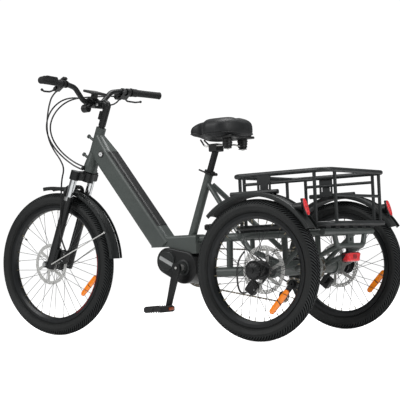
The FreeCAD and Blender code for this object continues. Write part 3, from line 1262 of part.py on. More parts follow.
def saddle_top(u):
    """Height of the saddle's top at a station."""
    nose = 1 - min(u / 0.22, 1.0)
    back = max((u - 0.80) / 0.20, 0.0)
    return SADDLE_TOP_Z - 12.0 * (1 - min(u / 0.45, 1.0)) - 16.0 * nose ** 2 - 14.0 * back ** 2


def saddle_bottom(u):
    """Height of the saddle's underside at a station."""
    blend = min(max((u - 0.05) / 0.4, 0.0), 1.0)
    back = max((u - 0.7) / 0.3, 0.0)
    return SADDLE_BASE_Z + 20.0 * (1 - blend) - 8.0 * blend + 22.0 * back ** 2


def saddle_cushion():
    """Soft saddle: rounded sections from the nose to the back, joined by a smooth skin."""
    wires = []
    for u in (0.0, 0.06, 0.16, 0.30, 0.44, 0.58, 0.72, 0.84, 0.94, 1.0):
        x = saddle_x(u)
        half = saddle_half_width(u)
        high = saddle_top(u)
        low = saddle_bottom(u)
        mid = (high + low) / 2
        rise = (high - low) / 2
        if u in (0.0, 1.0):
            rise *= 0.35
            half *= 0.6
        points = []
        for k in range(16):
            angle = 2 * math.pi * k / 16
            c, s = math.cos(angle), math.sin(angle)
            y = half * math.copysign(abs(c) ** 0.72, c)
            z = mid + rise * math.copysign(abs(s) ** 0.72, s)
            points.append(V(x, y, z))
        curve = Part.BSplineCurve()
        curve.interpolate(points, PeriodicFlag=True)
        wires.append(Part.Wire(curve.toShape()))
    return Part.makeLoft(wires, True, False)


def saddle_frame():
    """Rails under the saddle and the two rubber springs at the back."""
    front_x = saddle_x(0.34)
    back_x = saddle_x(0.86)
    rails = []
    for side in (-1, 1):
        rails.append(bent_tube([
            V(front_x - 34.0, side * 12.0, SADDLE_BASE_Z - 4.0), V(front_x - 8.0, side * 22.0, SADDLE_RAIL_Z),
            V(back_x - 34.0, side * 22.0, SADDLE_RAIL_Z), V(back_x, side * 55.0, SADDLE_RAIL_Z - 14.0)],
            3.5, 20.0))
    base = rounded_block(front_x - 40.0, back_x + 14.0, -16.0, 16.0, SADDLE_BASE_Z - 8.0,
                         SADDLE_BASE_Z + 2.0, 3.0)
    wide = rounded_block(back_x - 66.0, back_x + 24.0, -88.0, 88.0, SADDLE_BASE_Z - 12.0,
                         SADDLE_BASE_Z - 2.0, 3.0)
    plate = joined(base, wide).cut(saddle_cushion())
    plate = max(plate.Solids, key=lambda s: s.Volume)
    springs = []
    for side in (-1, 1):
        foot = V(back_x - 15.0, side * 55.0, SADDLE_RAIL_Z - 18.0)
        spring = rod(foot, V(foot.x, foot.y, SADDLE_BASE_Z - 8.0), 15.0)
        for i in range(3):
            spring = spring.fuse(rod(foot + V(0, 0, 12.0 + 12.0 * i), foot + V(0, 0, 18.0 + 12.0 * i),
                                     18.0 + i))
        springs.append(spring)
    return [joined(plate, *rails, *springs)]


# ---------------------------------------------------------------- rear cage and basket

def deck_front_tube():
    """Cross tube at the front of the rear deck."""
    return rod(V(DECK_FRONT_X, -DECK_HALF_WIDTH + 10.0, DECK_Z),
               V(DECK_FRONT_X, DECK_HALF_WIDTH - 10.0, DECK_Z),
               DECK_TUBE_RADIUS)


def deck_tubes():
    """Deck ring of tube and the slats that carry the basket."""
    ring = round_loop(DECK_FRONT_X, DECK_REAR_X, DECK_HALF_WIDTH - 14.0, DECK_Z, DECK_TUBE_RADIUS, 30.0)
    ends = rod(V(DECK_REAR_X, -DECK_HALF_WIDTH, DECK_Z), V(DECK_REAR_X, DECK_HALF_WIDTH, DECK_Z),
               DECK_TUBE_RADIUS)
    return [joined(ring, ends, deck_front_tube())]


def deck_slats():
    """Flat slats lying fore and aft on the deck ring."""
    slats = []
    span = 2 * (DECK_HALF_WIDTH - 40.0)
    for i in range(DECK_SLATS):
        y = -span / 2 + span * i / (DECK_SLATS - 1)
        slats.append(box(DECK_FRONT_X - 4.0, DECK_REAR_X + 6.0, y - DECK_SLAT_WIDTH / 2,
                         y + DECK_SLAT_WIDTH / 2,
                         DECK_Z + DECK_TUBE_RADIUS, BASKET_FLOOR_Z - BASKET_TUBE_RADIUS))
    return slats


def axle_housing():
    """Axle tube with a bearing block at each end, two posts up to the deck and the calipers."""
    tube = disc_y(REAR_AXLE, AXLE_HOUSING_RADIUS, -AXLE_HOUSING_HALF_LENGTH, AXLE_HOUSING_HALF_LENGTH)
    parts = [tube]
    for side in (-1, 1):
        y0 = side * AXLE_HOUSING_HALF_LENGTH
        y1 = side * (AXLE_HOUSING_HALF_LENGTH + BEARING_BLOCK_WIDTH)
        parts.append(disc_y(REAR_AXLE, AXLE_HOUSING_RADIUS + 5.0, min(y0, y1), max(y0, y1)))
        foot = V(REAR_X, side * POST_Y, REAR_Z)
        parts.append(rod(foot, V(REAR_X, side * POST_Y, BASKET_FLOOR_Z - BASKET_TUBE_RADIUS), POST_RADIUS))
        parts.append(box(REAR_X - 16.0, REAR_X + 16.0, side * POST_Y - 20.0, side * POST_Y + 20.0,
                         REAR_Z + 8.0, REAR_Z + 36.0))
    reach = AXLE_HOUSING_HALF_LENGTH + BEARING_BLOCK_WIDTH
    bore = disc_y(REAR_AXLE, REAR_SHAFT_RADIUS + RUNNING_CLEARANCE, -reach, reach)
    keep_middle = disc_y(REAR_AXLE, REAR_SHAFT_RADIUS + 1.0, -36.0, 36.0)
    whole = joined(*parts).cut(bore.cut(keep_middle)).cut(Part.makeCompound(deck_slats()))
    return max(whole.Solids, key=lambda s: s.Volume)


def rear_calipers():
    """A caliper under the axle at each rear disc, on an arm from the bearing block."""
    angle = math.radians(230.0)
    y_disc = WHEEL_Y - REAR_ROTOR_INSET
    middle = REAR_AXLE + V(math.cos(angle), 0, math.sin(angle)) * 84.0
    body = rounded_block(-24.0, 24.0, y_disc - 20.0, y_disc + 12.0, -20.0, 20.0, 5.0)
    body.Placement = FreeCAD.Placement(V(middle.x, 0, middle.z),
                                       FreeCAD.Rotation(Y_AXIS, -math.degrees(angle)))
    arm_y = AXLE_HOUSING_HALF_LENGTH + BEARING_BLOCK_WIDTH - 4.0
    arm = rod(V(REAR_X - 16.0, arm_y, REAR_Z - 26.0), V(middle.x, arm_y, middle.z), 7.0)
    arm_end = rod(V(middle.x, arm_y, middle.z), V(middle.x, y_disc - 16.0, middle.z), 7.0)
    slot = disc_y(REAR_AXLE, ROTOR_RADIUS + 4.0, y_disc - 2.4, y_disc + 2.4)
    whole = joined(body, arm, arm_end).cut(slot)
    whole = whole.cut(disc_y(REAR_AXLE, AXLE_HOUSING_RADIUS + 5.0, 0, arm_y + 4.0))
    whole = max(whole.Solids, key=lambda s: s.Volume)
    return both_sides(whole)


def rear_bumper():
    """Hanging bumper loop with its centre plate, and the braces to the axle and the deck."""
    x = DECK_REAR_X - 2.0
    low = DECK_Z - BUMPER_DROP
    loop = bent_tube([V(x, -122.0, DECK_Z), V(x, -102.0, low), V(x, 102.0, low), V(x, 122.0, DECK_Z)],
                     BUMPER_TUBE_RADIUS, 24.0)
    plate = box(x - 4.0, x + 4.0, -24.0, 24.0, low, DECK_Z)
    plate = plate.cut(Part.makeCylinder(7.0, 20.0, V(x - 10.0, 0, DECK_Z - 30.0), V(1, 0, 0)))
    parts = [loop, plate]
    for side in (-1, 1):
        parts.append(rod(V(x, side * 98.0, low), V(REAR_X + 10.0, side * 98.0, REAR_Z - 10.0), 9.0))
        parts.append(rod(V(REAR_X + 150.0, side * 158.0, DECK_Z),
                         V(REAR_X + 6.0, side * 158.0, REAR_Z + 10.0), 9.0))
    whole = joined(*parts).cut(disc_y(REAR_AXLE, AXLE_HOUSING_RADIUS, -AXLE_HOUSING_HALF_LENGTH,
                                      AXLE_HOUSING_HALF_LENGTH))
    whole = whole.cut(Part.makeCompound(deck_tubes() + deck_slats()))
    return [s for s in whole.Solids if s.Volume > 1000.0]


def rear_lamps():
    """Tail lamp under the bumper, and a cone with a round-ended reflector on each fender."""
    x = DECK_REAR_X - 4.0
    top = DECK_Z - BUMPER_DROP - BUMPER_TUBE_RADIUS
    bracket = box(x - 9.0, x + 2.0, -16.0, 16.0, top - 26.0, top - 0.0)
    tail = rounded_block(x - 14.0, x + 18.0, -48.0, 48.0, top - 50.0, top - 14.0, 7.0)
    tail = tail.cut(bracket)
    bracket = bracket.cut(rear_bumper_loop_envelope())
    shapes = [tail, bracket]
    outer = REAR_TYRE_RADIUS + REAR_FENDER_GAP
    middle = V(REAR_X + REFLECTOR_BEHIND, -WHEEL_Y, REAR_Z + REFLECTOR_RISE)
    face_x = middle.x - 4.5
    cone_length = face_x - REAR_X - math.sqrt(outer ** 2 - REFLECTOR_RISE ** 2) + 30.0
    cone = Part.makeCone(14.0, 20.0, cone_length, V(face_x - cone_length, middle.y, middle.z), V(1, 0, 0))
    shell = arc_shell(REAR_AXLE, -WHEEL_Y, outer, REAR_FENDER_HALF_WIDTH, 12.0, REAR_FENDER_START_DEG,
                      REAR_FENDER_END_DEG)
    inside = turned_y(V(REAR_X, -WHEEL_Y, REAR_Z),
                      [(0, -60.0), (outer - 0.5, -60.0), (outer - 0.5, 60.0), (0, 60.0)])
    lens = rounded_block(face_x, face_x + 9.0, middle.y - 14.0, middle.y + 14.0,
                         middle.z - REFLECTOR_HALF_HEIGHT, middle.z + REFLECTOR_HALF_HEIGHT, 4.0)
    lens.rotate(middle, Y_AXIS, -REFLECTOR_LEAN_DEG)
    cone = cone.cut(inside).cut(shell).cut(lens)
    cone = max(cone.Solids, key=lambda s: s.Volume)
    shapes += both_sides(cone) + both_sides(lens)
    return shapes


def rear_bumper_loop_envelope():
    """Bottom run of the bumper loop."""
    x = DECK_REAR_X - 2.0
    low = DECK_Z - BUMPER_DROP
    return rod(V(x, -90.0, low), V(x, 90.0, low), BUMPER_TUBE_RADIUS)


def rear_fenders():
    """Shell over each rear wheel, its rail and the rail's two feet."""
    outer = REAR_TYRE_RADIUS + REAR_FENDER_GAP
    shell = arc_shell(REAR_AXLE, -WHEEL_Y, outer, REAR_FENDER_HALF_WIDTH, 12.0, REAR_FENDER_START_DEG,
                      REAR_FENDER_END_DEG)
    rail_y = -WHEEL_Y + FENDER_RAIL_INSET
    mid_x = REAR_X - 20.0
    half = FENDER_RAIL_LENGTH / 2
    rail = rod(V(mid_x - half, rail_y, FENDER_RAIL_Z), V(mid_x + half, rail_y, FENDER_RAIL_Z),
               FENDER_RAIL_RADIUS)
    feet = [rod(V(mid_x + s * (half - 18.0), rail_y, FENDER_RAIL_Z),
                V(mid_x + s * (half - 18.0), rail_y - 8.0, REAR_Z + outer - 34.0), 5.0)
            for s in (-1, 1)]
    rail = joined(rail, *feet).cut(shell)
    rail = max(rail.Solids, key=lambda s: s.Volume)
    return both_sides(shell) + both_sides(rail)


def basket_rim():
    """Top loop of the basket."""
    return round_loop(BASKET_FRONT_X, BASKET_REAR_X, BASKET_HALF_WIDTH, BASKET_RIM_Z, BASKET_TUBE_RADIUS,
                      BASKET_CORNER)


def basket_floor():
    """Bottom loop of the basket and the wires across it."""
    loop = round_loop(BASKET_FRONT_X, BASKET_REAR_X, BASKET_HALF_WIDTH, BASKET_FLOOR_Z,
                      BASKET_TUBE_RADIUS, BASKET_CORNER)
    wires = []
    span = 2 * (BASKET_HALF_WIDTH - 34.0)
    for i in range(BASKET_SLATS):
        y = -span / 2 + span * i / (BASKET_SLATS - 1)
        wires.append(rod(V(BASKET_FRONT_X + 1.0, y, BASKET_FLOOR_Z),
                         V(BASKET_REAR_X - 1.0, y, BASKET_FLOOR_Z), 5.0))
    return joined(loop, *wires)


def basket_posts():
    """Uprights and mid rails of the basket, and the side plates down to the fender rails."""
    low = BASKET_FLOOR_Z
    high = BASKET_RIM_Z
    inset = BASKET_CORNER + BASKET_POST_RADIUS + 2.0
    spots = []
    for y in (-BASKET_HALF_WIDTH, BASKET_HALF_WIDTH):
        for x in (BASKET_FRONT_X + inset, BASKET_REAR_X - inset):
            spots.append((x, y))
    for x in (BASKET_FRONT_X, BASKET_REAR_X):
        for y in (-BASKET_HALF_WIDTH + inset, BASKET_HALF_WIDTH - inset):
            spots.append((x, y))
    uprights = [rod(V(x, y, low), V(x, y, high), BASKET_POST_RADIUS) for x, y in spots]
    rails = []
    for x in (BASKET_FRONT_X, BASKET_REAR_X):
        reach = BASKET_HALF_WIDTH - inset
        rails.append(rod(V(x, -reach, BASKET_MID_Z), V(x, reach, BASKET_MID_Z), BASKET_RAIL_RADIUS))
    for y in (-BASKET_HALF_WIDTH, BASKET_HALF_WIDTH):
        start = V(BASKET_FRONT_X + inset, y, BASKET_RIM_Z - 34.0)
        rails.append(rod(start, V(BASKET_REAR_X - inset, y, start.z), BASKET_RAIL_RADIUS))
    plate = box(REAR_X - 42.0, REAR_X + 16.0, -BASKET_HALF_WIDTH - 8.0, -BASKET_HALF_WIDTH - 3.0,
                FENDER_RAIL_Z - 4.0, high)
    for x in (REAR_X - 34.0, REAR_X + 4.0):
        plate = plate.cut(box(x, x + 5.0, -BASKET_HALF_WIDTH - 20.0, 0, FENDER_RAIL_Z + 14.0,
                              FENDER_RAIL_Z + 34.0))
    rail_y = -WHEEL_Y + FENDER_RAIL_INSET
    arm = box(REAR_X - 42.0, REAR_X + 16.0, rail_y, -BASKET_HALF_WIDTH - 3.0, FENDER_RAIL_Z - 4.0,
              FENDER_RAIL_Z + 1.0)
    side_plate = plate.fuse(arm)
    whole = joined(*uprights, *rails, side_plate, mirrored(side_plate))
    whole = whole.cut([basket_rim(), basket_floor()] + rear_fenders()[2:])
    return [s for s in whole.Solids if s.Volume > 500.0]


# ---------------------------------------------------------------- cables and hoses

def cable_bundle():
    """Cables from the right lever and the shifter, looping ahead and back to the head tube's left side."""
    brake = cable("right lever cable", [
        V(-382.1, 212.7, 1038.3), V(-404.0, 217.0, 1022.0), V(-436.0, 198.0, 1016.0), V(-458.0, 160.0,
                                                                                        1022.0),
        V(-470.0, 112.0, 1034.0), V(-478.0, 62.0, 1043.0), V(-492.0, 16.0, 1044.0), V(-517.0, -18.0, 1033.0),
        V(-541.0, -44.0, 1008.0), V(-556.0, -64.0, 974.0), V(-563.0, -76.0, 936.0), V(-567.0, -74.0, 896.0),
        V(-560.0, -62.0, 854.0), V(-537.0, -52.0, 814.0), V(-503.0, -45.0, 778.0), V(-464.0, -41.0, 748.0),
        V(-430.0, -38.0, 728.0), V(-403.0, -33.0, 716.0)], CABLE_RADIUS)
    shift = cable("shifter cable", [
        V(-372.3, 172.0, 1048.5), V(-378.0, 150.0, 1049.0), V(-394.0, 120.0, 1047.0), V(-420.0, 88.0, 1045.0),
        V(-448.0, 52.0, 1043.0), V(-476.0, 14.0, 1037.0), V(-504.0, -16.0, 1020.0), V(-528.0, -40.0, 992.0),
        V(-543.0, -58.0, 958.0), V(-551.0, -67.0, 922.0), V(-552.0, -64.0, 886.0), V(-543.0, -55.0, 848.0),
        V(-521.0, -45.0, 812.0), V(-490.0, -38.0, 781.0), V(-455.0, -34.0, 756.0), V(-424.0, -32.0, 739.0),
        V(-397.0, -31.0, 729.0)], CABLE_RADIUS)
    return [brake, shift]


def front_hose():
    """Hose from the left lever, round ahead of the head tube and down the left leg to the caliper."""
    return cable("front brake hose", [
        V(-382.1, -212.7, 1038.3), V(-404.0, -214.0, 1022.0), V(-437.0, -192.0, 1000.0), V(-478.0, -158.0,
                                                                                           974.0),
        V(-518.0, -122.0, 942.0), V(-543.0, -98.0, 900.0), V(-543.0, -88.0, 854.0), V(-520.0, -84.0, 808.0),
        V(-484.0, -85.0, 765.0), steering_point(-68.0, -88.0, 432.0), steering_point(-64.0, -91.0, 384.0),
        steering_point(-48.0, -91.0, 332.0), steering_point(-32.0, -88.0, 276.0), steering_point(-20.0,
                                                                                                -86.0, 220.0),
        steering_point(-4.0, -83.0, 168.0), steering_point(12.0, -71.0, 124.0),
        steering_point(24.0, -46.0, 87.5)], CABLE_RADIUS)


def rear_hoses():
    """Hose from the lower spine tube, looping down and up to each rear caliper."""
    hoses = []
    for side, label in ((-1, "left rear hose"), (1, "right rear hose")):
        end = V(REAR_X - 82.0, side * 262.0, REAR_Z - 78.0)
        points = [
            V(REAR_X - 250.0, side * 24.0, 330.0), V(REAR_X - 246.0, side * 70.0, 308.0),
            V(REAR_X - 226.0, side * 118.0, 262.0), V(REAR_X - 196.0, side * 166.0, 212.0),
            V(REAR_X - 156.0, side * 214.0, 180.0), V(REAR_X - 116.0, side * 248.0, 172.0), end]
        hoses.append(cable(label, points, CABLE_RADIUS))
    return hoses


# ---------------------------------------------------------------- write the files

def main():
    """Builds every sub-part and writes it to the parts folder."""
    os.makedirs("parts", exist_ok=True)
    save("head_tube", *head_tube())
    save("down_tube", down_tube())
    save("battery", battery())
    save("battery_lock", battery_lock())
    save("seat_tube", seat_tube(), seat_collar())
    save("collar_lever", collar_lever())
    save("seat_stays", *seat_stays())
    save("spine_tubes", *spine_tubes())
    save("motor", *motor())
    save("crank_set", *crank_set())
    save("pedal_left", *pedal(-1))
    save("pedal_right", *pedal(1))
    save("cassette", cassette())
    save("derailleur_body", derailleur_body())
    save("derailleur_cage", derailleur_cage())
    save("chain", chain())
    save("seat_post", seat_post())
    save("saddle_cushion", saddle_cushion())
    save("saddle_frame", *saddle_frame())
    save("rear_deck", *(deck_tubes() + deck_slats()))
    save("axle_housing", axle_housing())
    save("rear_calipers", *rear_calipers())
    save("rear_bumper", *rear_bumper())
    save("rear_lamps", *rear_lamps())
    save("rear_fenders", *rear_fenders())
    save("basket_rim", basket_rim())
    save("basket_floor", basket_floor())
    save("basket_posts", *basket_posts())
    save("rear_hoses", *rear_hoses())
    save("fork_lowers", *fork_lowers())
    save("front_caliper", front_caliper())
    save("front_fender", *front_fender())
    save("front_hose", front_hose())
    save("fork_crown", fork_crown())
    save("stanchions", *stanchions())
    save("lockout_knob", lockout_knob())
    save("stem", stem())
    save("handlebar", handlebar())
    save("bar_grips", *bar_grips())
    save("display", display())
    save("headlight", headlight())
    save("bar_controls", lever_perch(-1), lever_perch(1), control_pad(), shifter_pod())
    save("brake_lever_left", brake_lever(-1))
    save("brake_lever_right", brake_lever(1))
    save("throttle_grip", throttle_grip())
    save("shift_lever", shift_lever())
    save("pad_buttons", *pad_buttons())
    save("cable_bundle", *cable_bundle())
    save("front_tyre", tyre(FRONT_AXLE, FRONT_TYRE_RADIUS, FRONT_RIM_RADIUS, FRONT_TYRE_HALF_WIDTH))
    save("front_rim", rim(FRONT_AXLE, FRONT_RIM_RADIUS))
    save("front_spokes", *spokes(FRONT_AXLE, FRONT_RIM_RADIUS, FRONT_FLANGE_Y, FRONT_FLANGE_RADIUS))
    save("front_hub", *front_hub())
    for side, label in ((-1, "left"), (1, "right")):
        centre = V(REAR_X, side * WHEEL_Y, REAR_Z)
        save(label + "_tyre", tyre(centre, REAR_TYRE_RADIUS, REAR_RIM_RADIUS, REAR_TYRE_HALF_WIDTH))
        save(label + "_rim", rim(centre, REAR_RIM_RADIUS))
        save(label + "_hub", *rear_hub(side))
    # spokes of both rear wheels follow the same pattern
    for side, label in ((-1, "left"), (1, "right")):
        centre = V(REAR_X, side * WHEEL_Y, REAR_Z)
        save(label + "_spokes", *spokes(centre, REAR_RIM_RADIUS, REAR_FLANGE_Y, REAR_FLANGE_RADIUS))


main()
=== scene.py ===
"""Looks of the adult tricycle: tyres with tread, spoked wheels, drive, saddle, grips, cables and paint.

Metres. X runs from the front wheel to the rear axle, Y to the rider's right, Z up.
"""
import json
import math

import bpy
import numpy as np
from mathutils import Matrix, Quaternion, Vector


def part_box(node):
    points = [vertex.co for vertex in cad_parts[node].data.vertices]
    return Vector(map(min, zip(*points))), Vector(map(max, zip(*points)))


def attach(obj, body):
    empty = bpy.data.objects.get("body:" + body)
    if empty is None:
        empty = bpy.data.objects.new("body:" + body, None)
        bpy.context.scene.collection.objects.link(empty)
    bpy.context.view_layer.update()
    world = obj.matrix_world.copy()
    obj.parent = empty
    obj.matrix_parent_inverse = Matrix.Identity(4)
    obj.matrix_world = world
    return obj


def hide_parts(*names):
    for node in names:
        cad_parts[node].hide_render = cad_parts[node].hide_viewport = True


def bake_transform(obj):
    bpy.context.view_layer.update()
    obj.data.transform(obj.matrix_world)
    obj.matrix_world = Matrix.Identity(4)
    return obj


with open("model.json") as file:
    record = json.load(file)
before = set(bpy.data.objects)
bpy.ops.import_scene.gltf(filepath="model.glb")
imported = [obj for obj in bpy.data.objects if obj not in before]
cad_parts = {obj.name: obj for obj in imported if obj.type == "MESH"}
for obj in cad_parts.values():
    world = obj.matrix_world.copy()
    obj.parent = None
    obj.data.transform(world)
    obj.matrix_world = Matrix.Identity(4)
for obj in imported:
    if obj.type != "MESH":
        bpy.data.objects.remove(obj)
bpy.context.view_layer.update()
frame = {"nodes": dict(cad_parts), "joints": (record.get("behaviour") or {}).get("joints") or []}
MM = 0.001


# ---------------------------------------------------------------- places read from the frame

def middle(node):
    """Centre of a CAD node's box."""
    low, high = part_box(node)
    return np.array((low + high) / 2)


def joint(name):
    """A joint of the frame by its name."""
    return next(j for j in frame["joints"] if j["name"] == name)


FRONT_AXLE = middle("front_rim")
LEFT_AXLE = middle("left_rim")
RIGHT_AXLE = middle("right_rim")
REAR_AXLE = (LEFT_AXLE + RIGHT_AXLE) / 2
CRANK = np.array(joint("crank_spin")["pos_m"])
LEAN = math.radians(22.5)
STEER_UP = np.array([math.sin(LEAN), 0, math.cos(LEAN)])
STEER_BACK = np.array([math.cos(LEAN), 0, -math.sin(LEAN)])
STEER_FOOT = FRONT_AXLE + STEER_BACK * 0.041
ACROSS = np.array([0.0, 1.0, 0.0])


def steering_point(back, y, up):
    """Point in millimetres back from, beside and up along the steering axis."""
    return STEER_FOOT + STEER_BACK * back * MM + ACROSS * y * MM + STEER_UP * up * MM


# ---------------------------------------------------------------- surfaces

def unit(v):
    """The same direction with length one."""
    v = np.asarray(v, float)
    return v / np.linalg.norm(v)


def grid(rows, columns, wrap_rows, wrap_columns):
    """Four-sided faces over points stored row by row; a wrapped side joins its last line to its first."""
    r = np.arange(rows if wrap_rows else rows - 1)[:, None]
    c = np.arange(columns if wrap_columns else columns - 1)[None, :]
    here = r * columns
    there = (r + 1) % rows * columns
    after = (c + 1) % columns
    return np.stack([here + c, here + after, there + after, there + c], -1).reshape(-1, 4)


class Shape:
    """Points and faces of several closed forms, each turned outwards and with its own material number."""

    def __init__(self):
        self.points = []
        self.blocks = []
        self.marks = []
        self.count = 0

    def add(self, form, mark=0):
        """Adds a closed form (points, face blocks); its faces turn round if its volume is negative."""
        points, blocks = form
        volume = 0.0
        for block in blocks:
            corner = points[block]
            for i in range(1, block.shape[1] - 1):
                volume += np.einsum("ij,ij->", corner[:, 0], np.cross(corner[:, i], corner[:, i + 1]))
        for block in blocks:
            turned_block = block[:, ::-1] if volume < 0 else block
            self.blocks.append(turned_block + self.count)
            self.marks.append(np.full(len(block), mark, np.int32))
        self.points.append(points)
        self.count += len(points)
        return self

    def made(self, name, materials, body, slot, replaced=(), sharp=40.0):
        """Turns the gathered forms into one object that rides on a body and may stand for CAD nodes."""
        mesh = bpy.data.meshes.new(name)
        faces = [face for block in self.blocks for face in block.tolist()]
        mesh.from_pydata(np.concatenate(self.points).tolist(), [], faces)
        for material in materials:
            mesh.materials.append(material)
        mesh.polygons.foreach_set("material_index", np.concatenate(self.marks))
        mesh.polygons.foreach_set("use_smooth", np.ones(len(faces), bool))
        mesh.set_sharp_from_angle(angle=math.radians(sharp))
        mesh.update()
        piece = bpy.data.objects.new(name, mesh)
        bpy.context.scene.collection.objects.link(piece)
        if body:
            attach(piece, body)
        if replaced:
            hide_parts(*replaced)
        return piece


def turned(centre, profile, sides=64, wave=None):
    """Ring about an axle along Y: each corner (radius, y) of a closed outline is carried round the circle,
    with its radius changed by wave(angle, radius) where that is given."""
    profile = np.asarray(profile, float) * MM
    turn = np.linspace(0, 2 * np.pi, sides, endpoint=False)[:, None]
    radius = np.broadcast_to(profile[None, :, 0], (sides, len(profile)))
    if wave:
        radius = radius + wave(turn, radius)
    y = np.broadcast_to(profile[None, :, 1], radius.shape)
    points = np.stack([radius * np.cos(turn), y, radius * np.sin(turn)], -1) + np.asarray(centre)
    return points.reshape(-1, 3), [grid(sides, len(profile), True, True)]


def capped(rings):
    """Closed form through rings of points, with a flat face on the first ring and the last. Neighbouring
    faces run opposite ways along their shared edge, so the first ring's face is reversed."""
    rows, sides = rings.shape[:2]
    last = (rows - 1) * sides
    caps = [np.arange(sides)[None, ::-1], np.arange(last, last + sides)[None]]
    return rings.reshape(-1, 3), [grid(rows, sides, False, True)] + caps


def spun(start, way, profile, sides=24, wave=None):
    """Solid about any axis: rings of (distance along, radius) in millimetres, with a flat cap at each end."""
    profile = np.asarray(profile, float) * MM
    way = unit(way)
    side = unit(np.cross(way, [0.31, 0.87, 0.39] if abs(way[1]) < 0.9 else [1.0, 0, 0]))
    other = np.cross(way, side)
    turn = np.linspace(0, 2 * np.pi, sides, endpoint=False)[None, :, None]
    radius = profile[:, 1][:, None, None]
    if wave:
        radius = radius + wave(turn, radius)
    ring = np.cos(turn) * side + np.sin(turn) * other
    return capped(np.asarray(start) + profile[:, 0][:, None, None] * way + radius * ring)


def bolt(start, way, radius, height):
    """Domed bolt head with a small socket in its crown."""
    return spun(start, way, [(0, radius), (height * 0.6, radius), (height, radius * 0.8),
                             (height, radius * 0.45), (height * 0.45, radius * 0.42)], 12)


def carried(path):
    """Sideways and upward directions along a path, turned as little as possible from point to point."""
    path = np.asarray(path, float)
    way = np.gradient(path, axis=0)
    way /= np.linalg.norm(way, axis=1)[:, None]
    side = np.zeros_like(way)
    side[0] = unit(np.cross(way[0], [0.1, 0.2, 0.97] if abs(way[0][2]) < 0.9 else [0, 1.0, 0]))
    for i in range(1, len(path)):
        side[i] = unit(side[i - 1] - way[i] * np.dot(side[i - 1], way[i]))
    return way, side, np.cross(way, side)


def swept(path, section, start_side=None):
    """Closed outline of (side, up) corners carried along a path; section may hold one for each point."""
    path = np.asarray(path, float)
    way, side, up = carried(path)
    if start_side is not None:
        side = start_side - way * (way @ start_side)[:, None]
        side /= np.linalg.norm(side, axis=1)[:, None]
        up = np.cross(way, side)
    section = np.asarray(section, float)
    if section.ndim == 2:
        section = np.broadcast_to(section, (len(path),) + section.shape)
    return capped(path[:, None] + section[..., :1] * side[:, None] + section[..., 1:] * up[:, None])


def ring_outline(radius, sides):
    """Round outline of (side, up) corners in metres."""
    turn = np.linspace(0, 2 * np.pi, sides, endpoint=False)
    return np.stack([radius * np.cos(turn), radius * np.sin(turn)], -1)


def rounded(centre, half, power=0.25, turn=0.0, rows=14, columns=24):
    """Block with soft edges: a ball whose sines and cosines are raised to a small power, stretched to
    its half sizes in millimetres and leaned about Y."""
    v = np.linspace(-np.pi / 2, np.pi / 2, rows)[:, None]
    u = np.linspace(0, 2 * np.pi, columns, endpoint=False)[None, :] + np.pi / columns

    def soft(x):
        return np.sign(x) * np.abs(x) ** power

    x = soft(np.cos(v)) * soft(np.cos(u))
    y = soft(np.cos(v)) * soft(np.sin(u))
    z = np.broadcast_to(soft(np.sin(v)), x.shape)
    points = np.stack([x, y, z], -1) * np.asarray(half, float) * MM
    c, s = math.cos(turn), math.sin(turn)
    points = points @ np.array([[c, 0, -s], [0, 1, 0], [s, 0, c]])
    points = points.reshape(-1, 3) + np.asarray(centre)
    low = np.arange(columns)
    return points, [grid(rows, columns, False, True), low[None, ::-1], (low + (rows - 1) * columns)[None, :]]


def plate(outlines, thickness, place):
    """Flat plate cut to the first outline, the others its holes; place maps (across, up, through) points."""
    curve = bpy.data.curves.new("outline", "CURVE")
    curve.dimensions = "2D"
    curve.fill_mode = "BOTH"
    curve.extrude = thickness * MM / 2
    for outline in outlines:
        spline = curve.splines.new("POLY")
        spline.points.add(len(outline) - 1)
        corners = np.zeros((len(outline), 4))
        corners[:, :2] = np.asarray(outline) * MM
        corners[:, 3] = 1
        spline.points.foreach_set("co", corners.ravel())
        spline.use_cyclic_u = True
    flat = bpy.data.objects.new("outline", curve)
    mesh = bpy.data.meshes.new_from_object(flat)
    points = np.zeros(len(mesh.vertices) * 3)
    mesh.vertices.foreach_get("co", points)
    by_size = {}
    for face in mesh.polygons:
        by_size.setdefault(len(face.vertices), []).append(list(face.vertices))
    blocks = [np.array(faces) for faces in by_size.values()]
    bpy.data.objects.remove(flat)
    bpy.data.curves.remove(curve)
    bpy.data.meshes.remove(mesh)
    return place(points.reshape(-1, 3)), blocks


def across_axle(centre, turn=0.0):
    """Placing function for a plate that stands square to an axle along Y, turned about it."""
    c, s = math.cos(turn), math.sin(turn)

    def place(p):
        x = p[:, 0] * c - p[:, 1] * s
        z = p[:, 0] * s + p[:, 1] * c
        return np.stack([x, p[:, 2], z], -1) + np.asarray(centre)

    return place


def circle(radius, sides, x=0.0, z=0.0):
    """Round outline in millimetres about a point."""
    turn = np.linspace(0, 2 * np.pi, sides, endpoint=False)
    return np.stack([x + radius * np.cos(turn), z + radius * np.sin(turn)], -1)


def arc(a, b, c, steps):
    """Points along the circle through three points, from the first to the last."""
    a, b, c = (np.asarray(p, float) for p in (a, b, c))
    det = 2 * (a[0] * (b[1] - c[1]) + b[0] * (c[1] - a[1]) + c[0] * (a[1] - b[1]))
    x = ((a @ a) * (b[1] - c[1]) + (b @ b) * (c[1] - a[1]) + (c @ c) * (a[1] - b[1])) / det
    y = ((a @ a) * (c[0] - b[0]) + (b @ b) * (a[0] - c[0]) + (c @ c) * (b[0] - a[0])) / det
    turns = np.unwrap([math.atan2(p[1] - y, p[0] - x) for p in (a, b, c)])
    radius = math.hypot(a[0] - x, a[1] - y)
    t = turns[0] + (turns[2] - turns[0]) * np.asarray(steps)
    return np.stack([x + radius * np.cos(t), y + radius * np.sin(t)], -1)


def smooth(low, high, x):
    """Soft step from 0 to 1 between two values."""
    t = np.clip((x - low) / (high - low), 0, 1)
    return t * t * (3 - 2 * t)


# ---------------------------------------------------------------- finishes

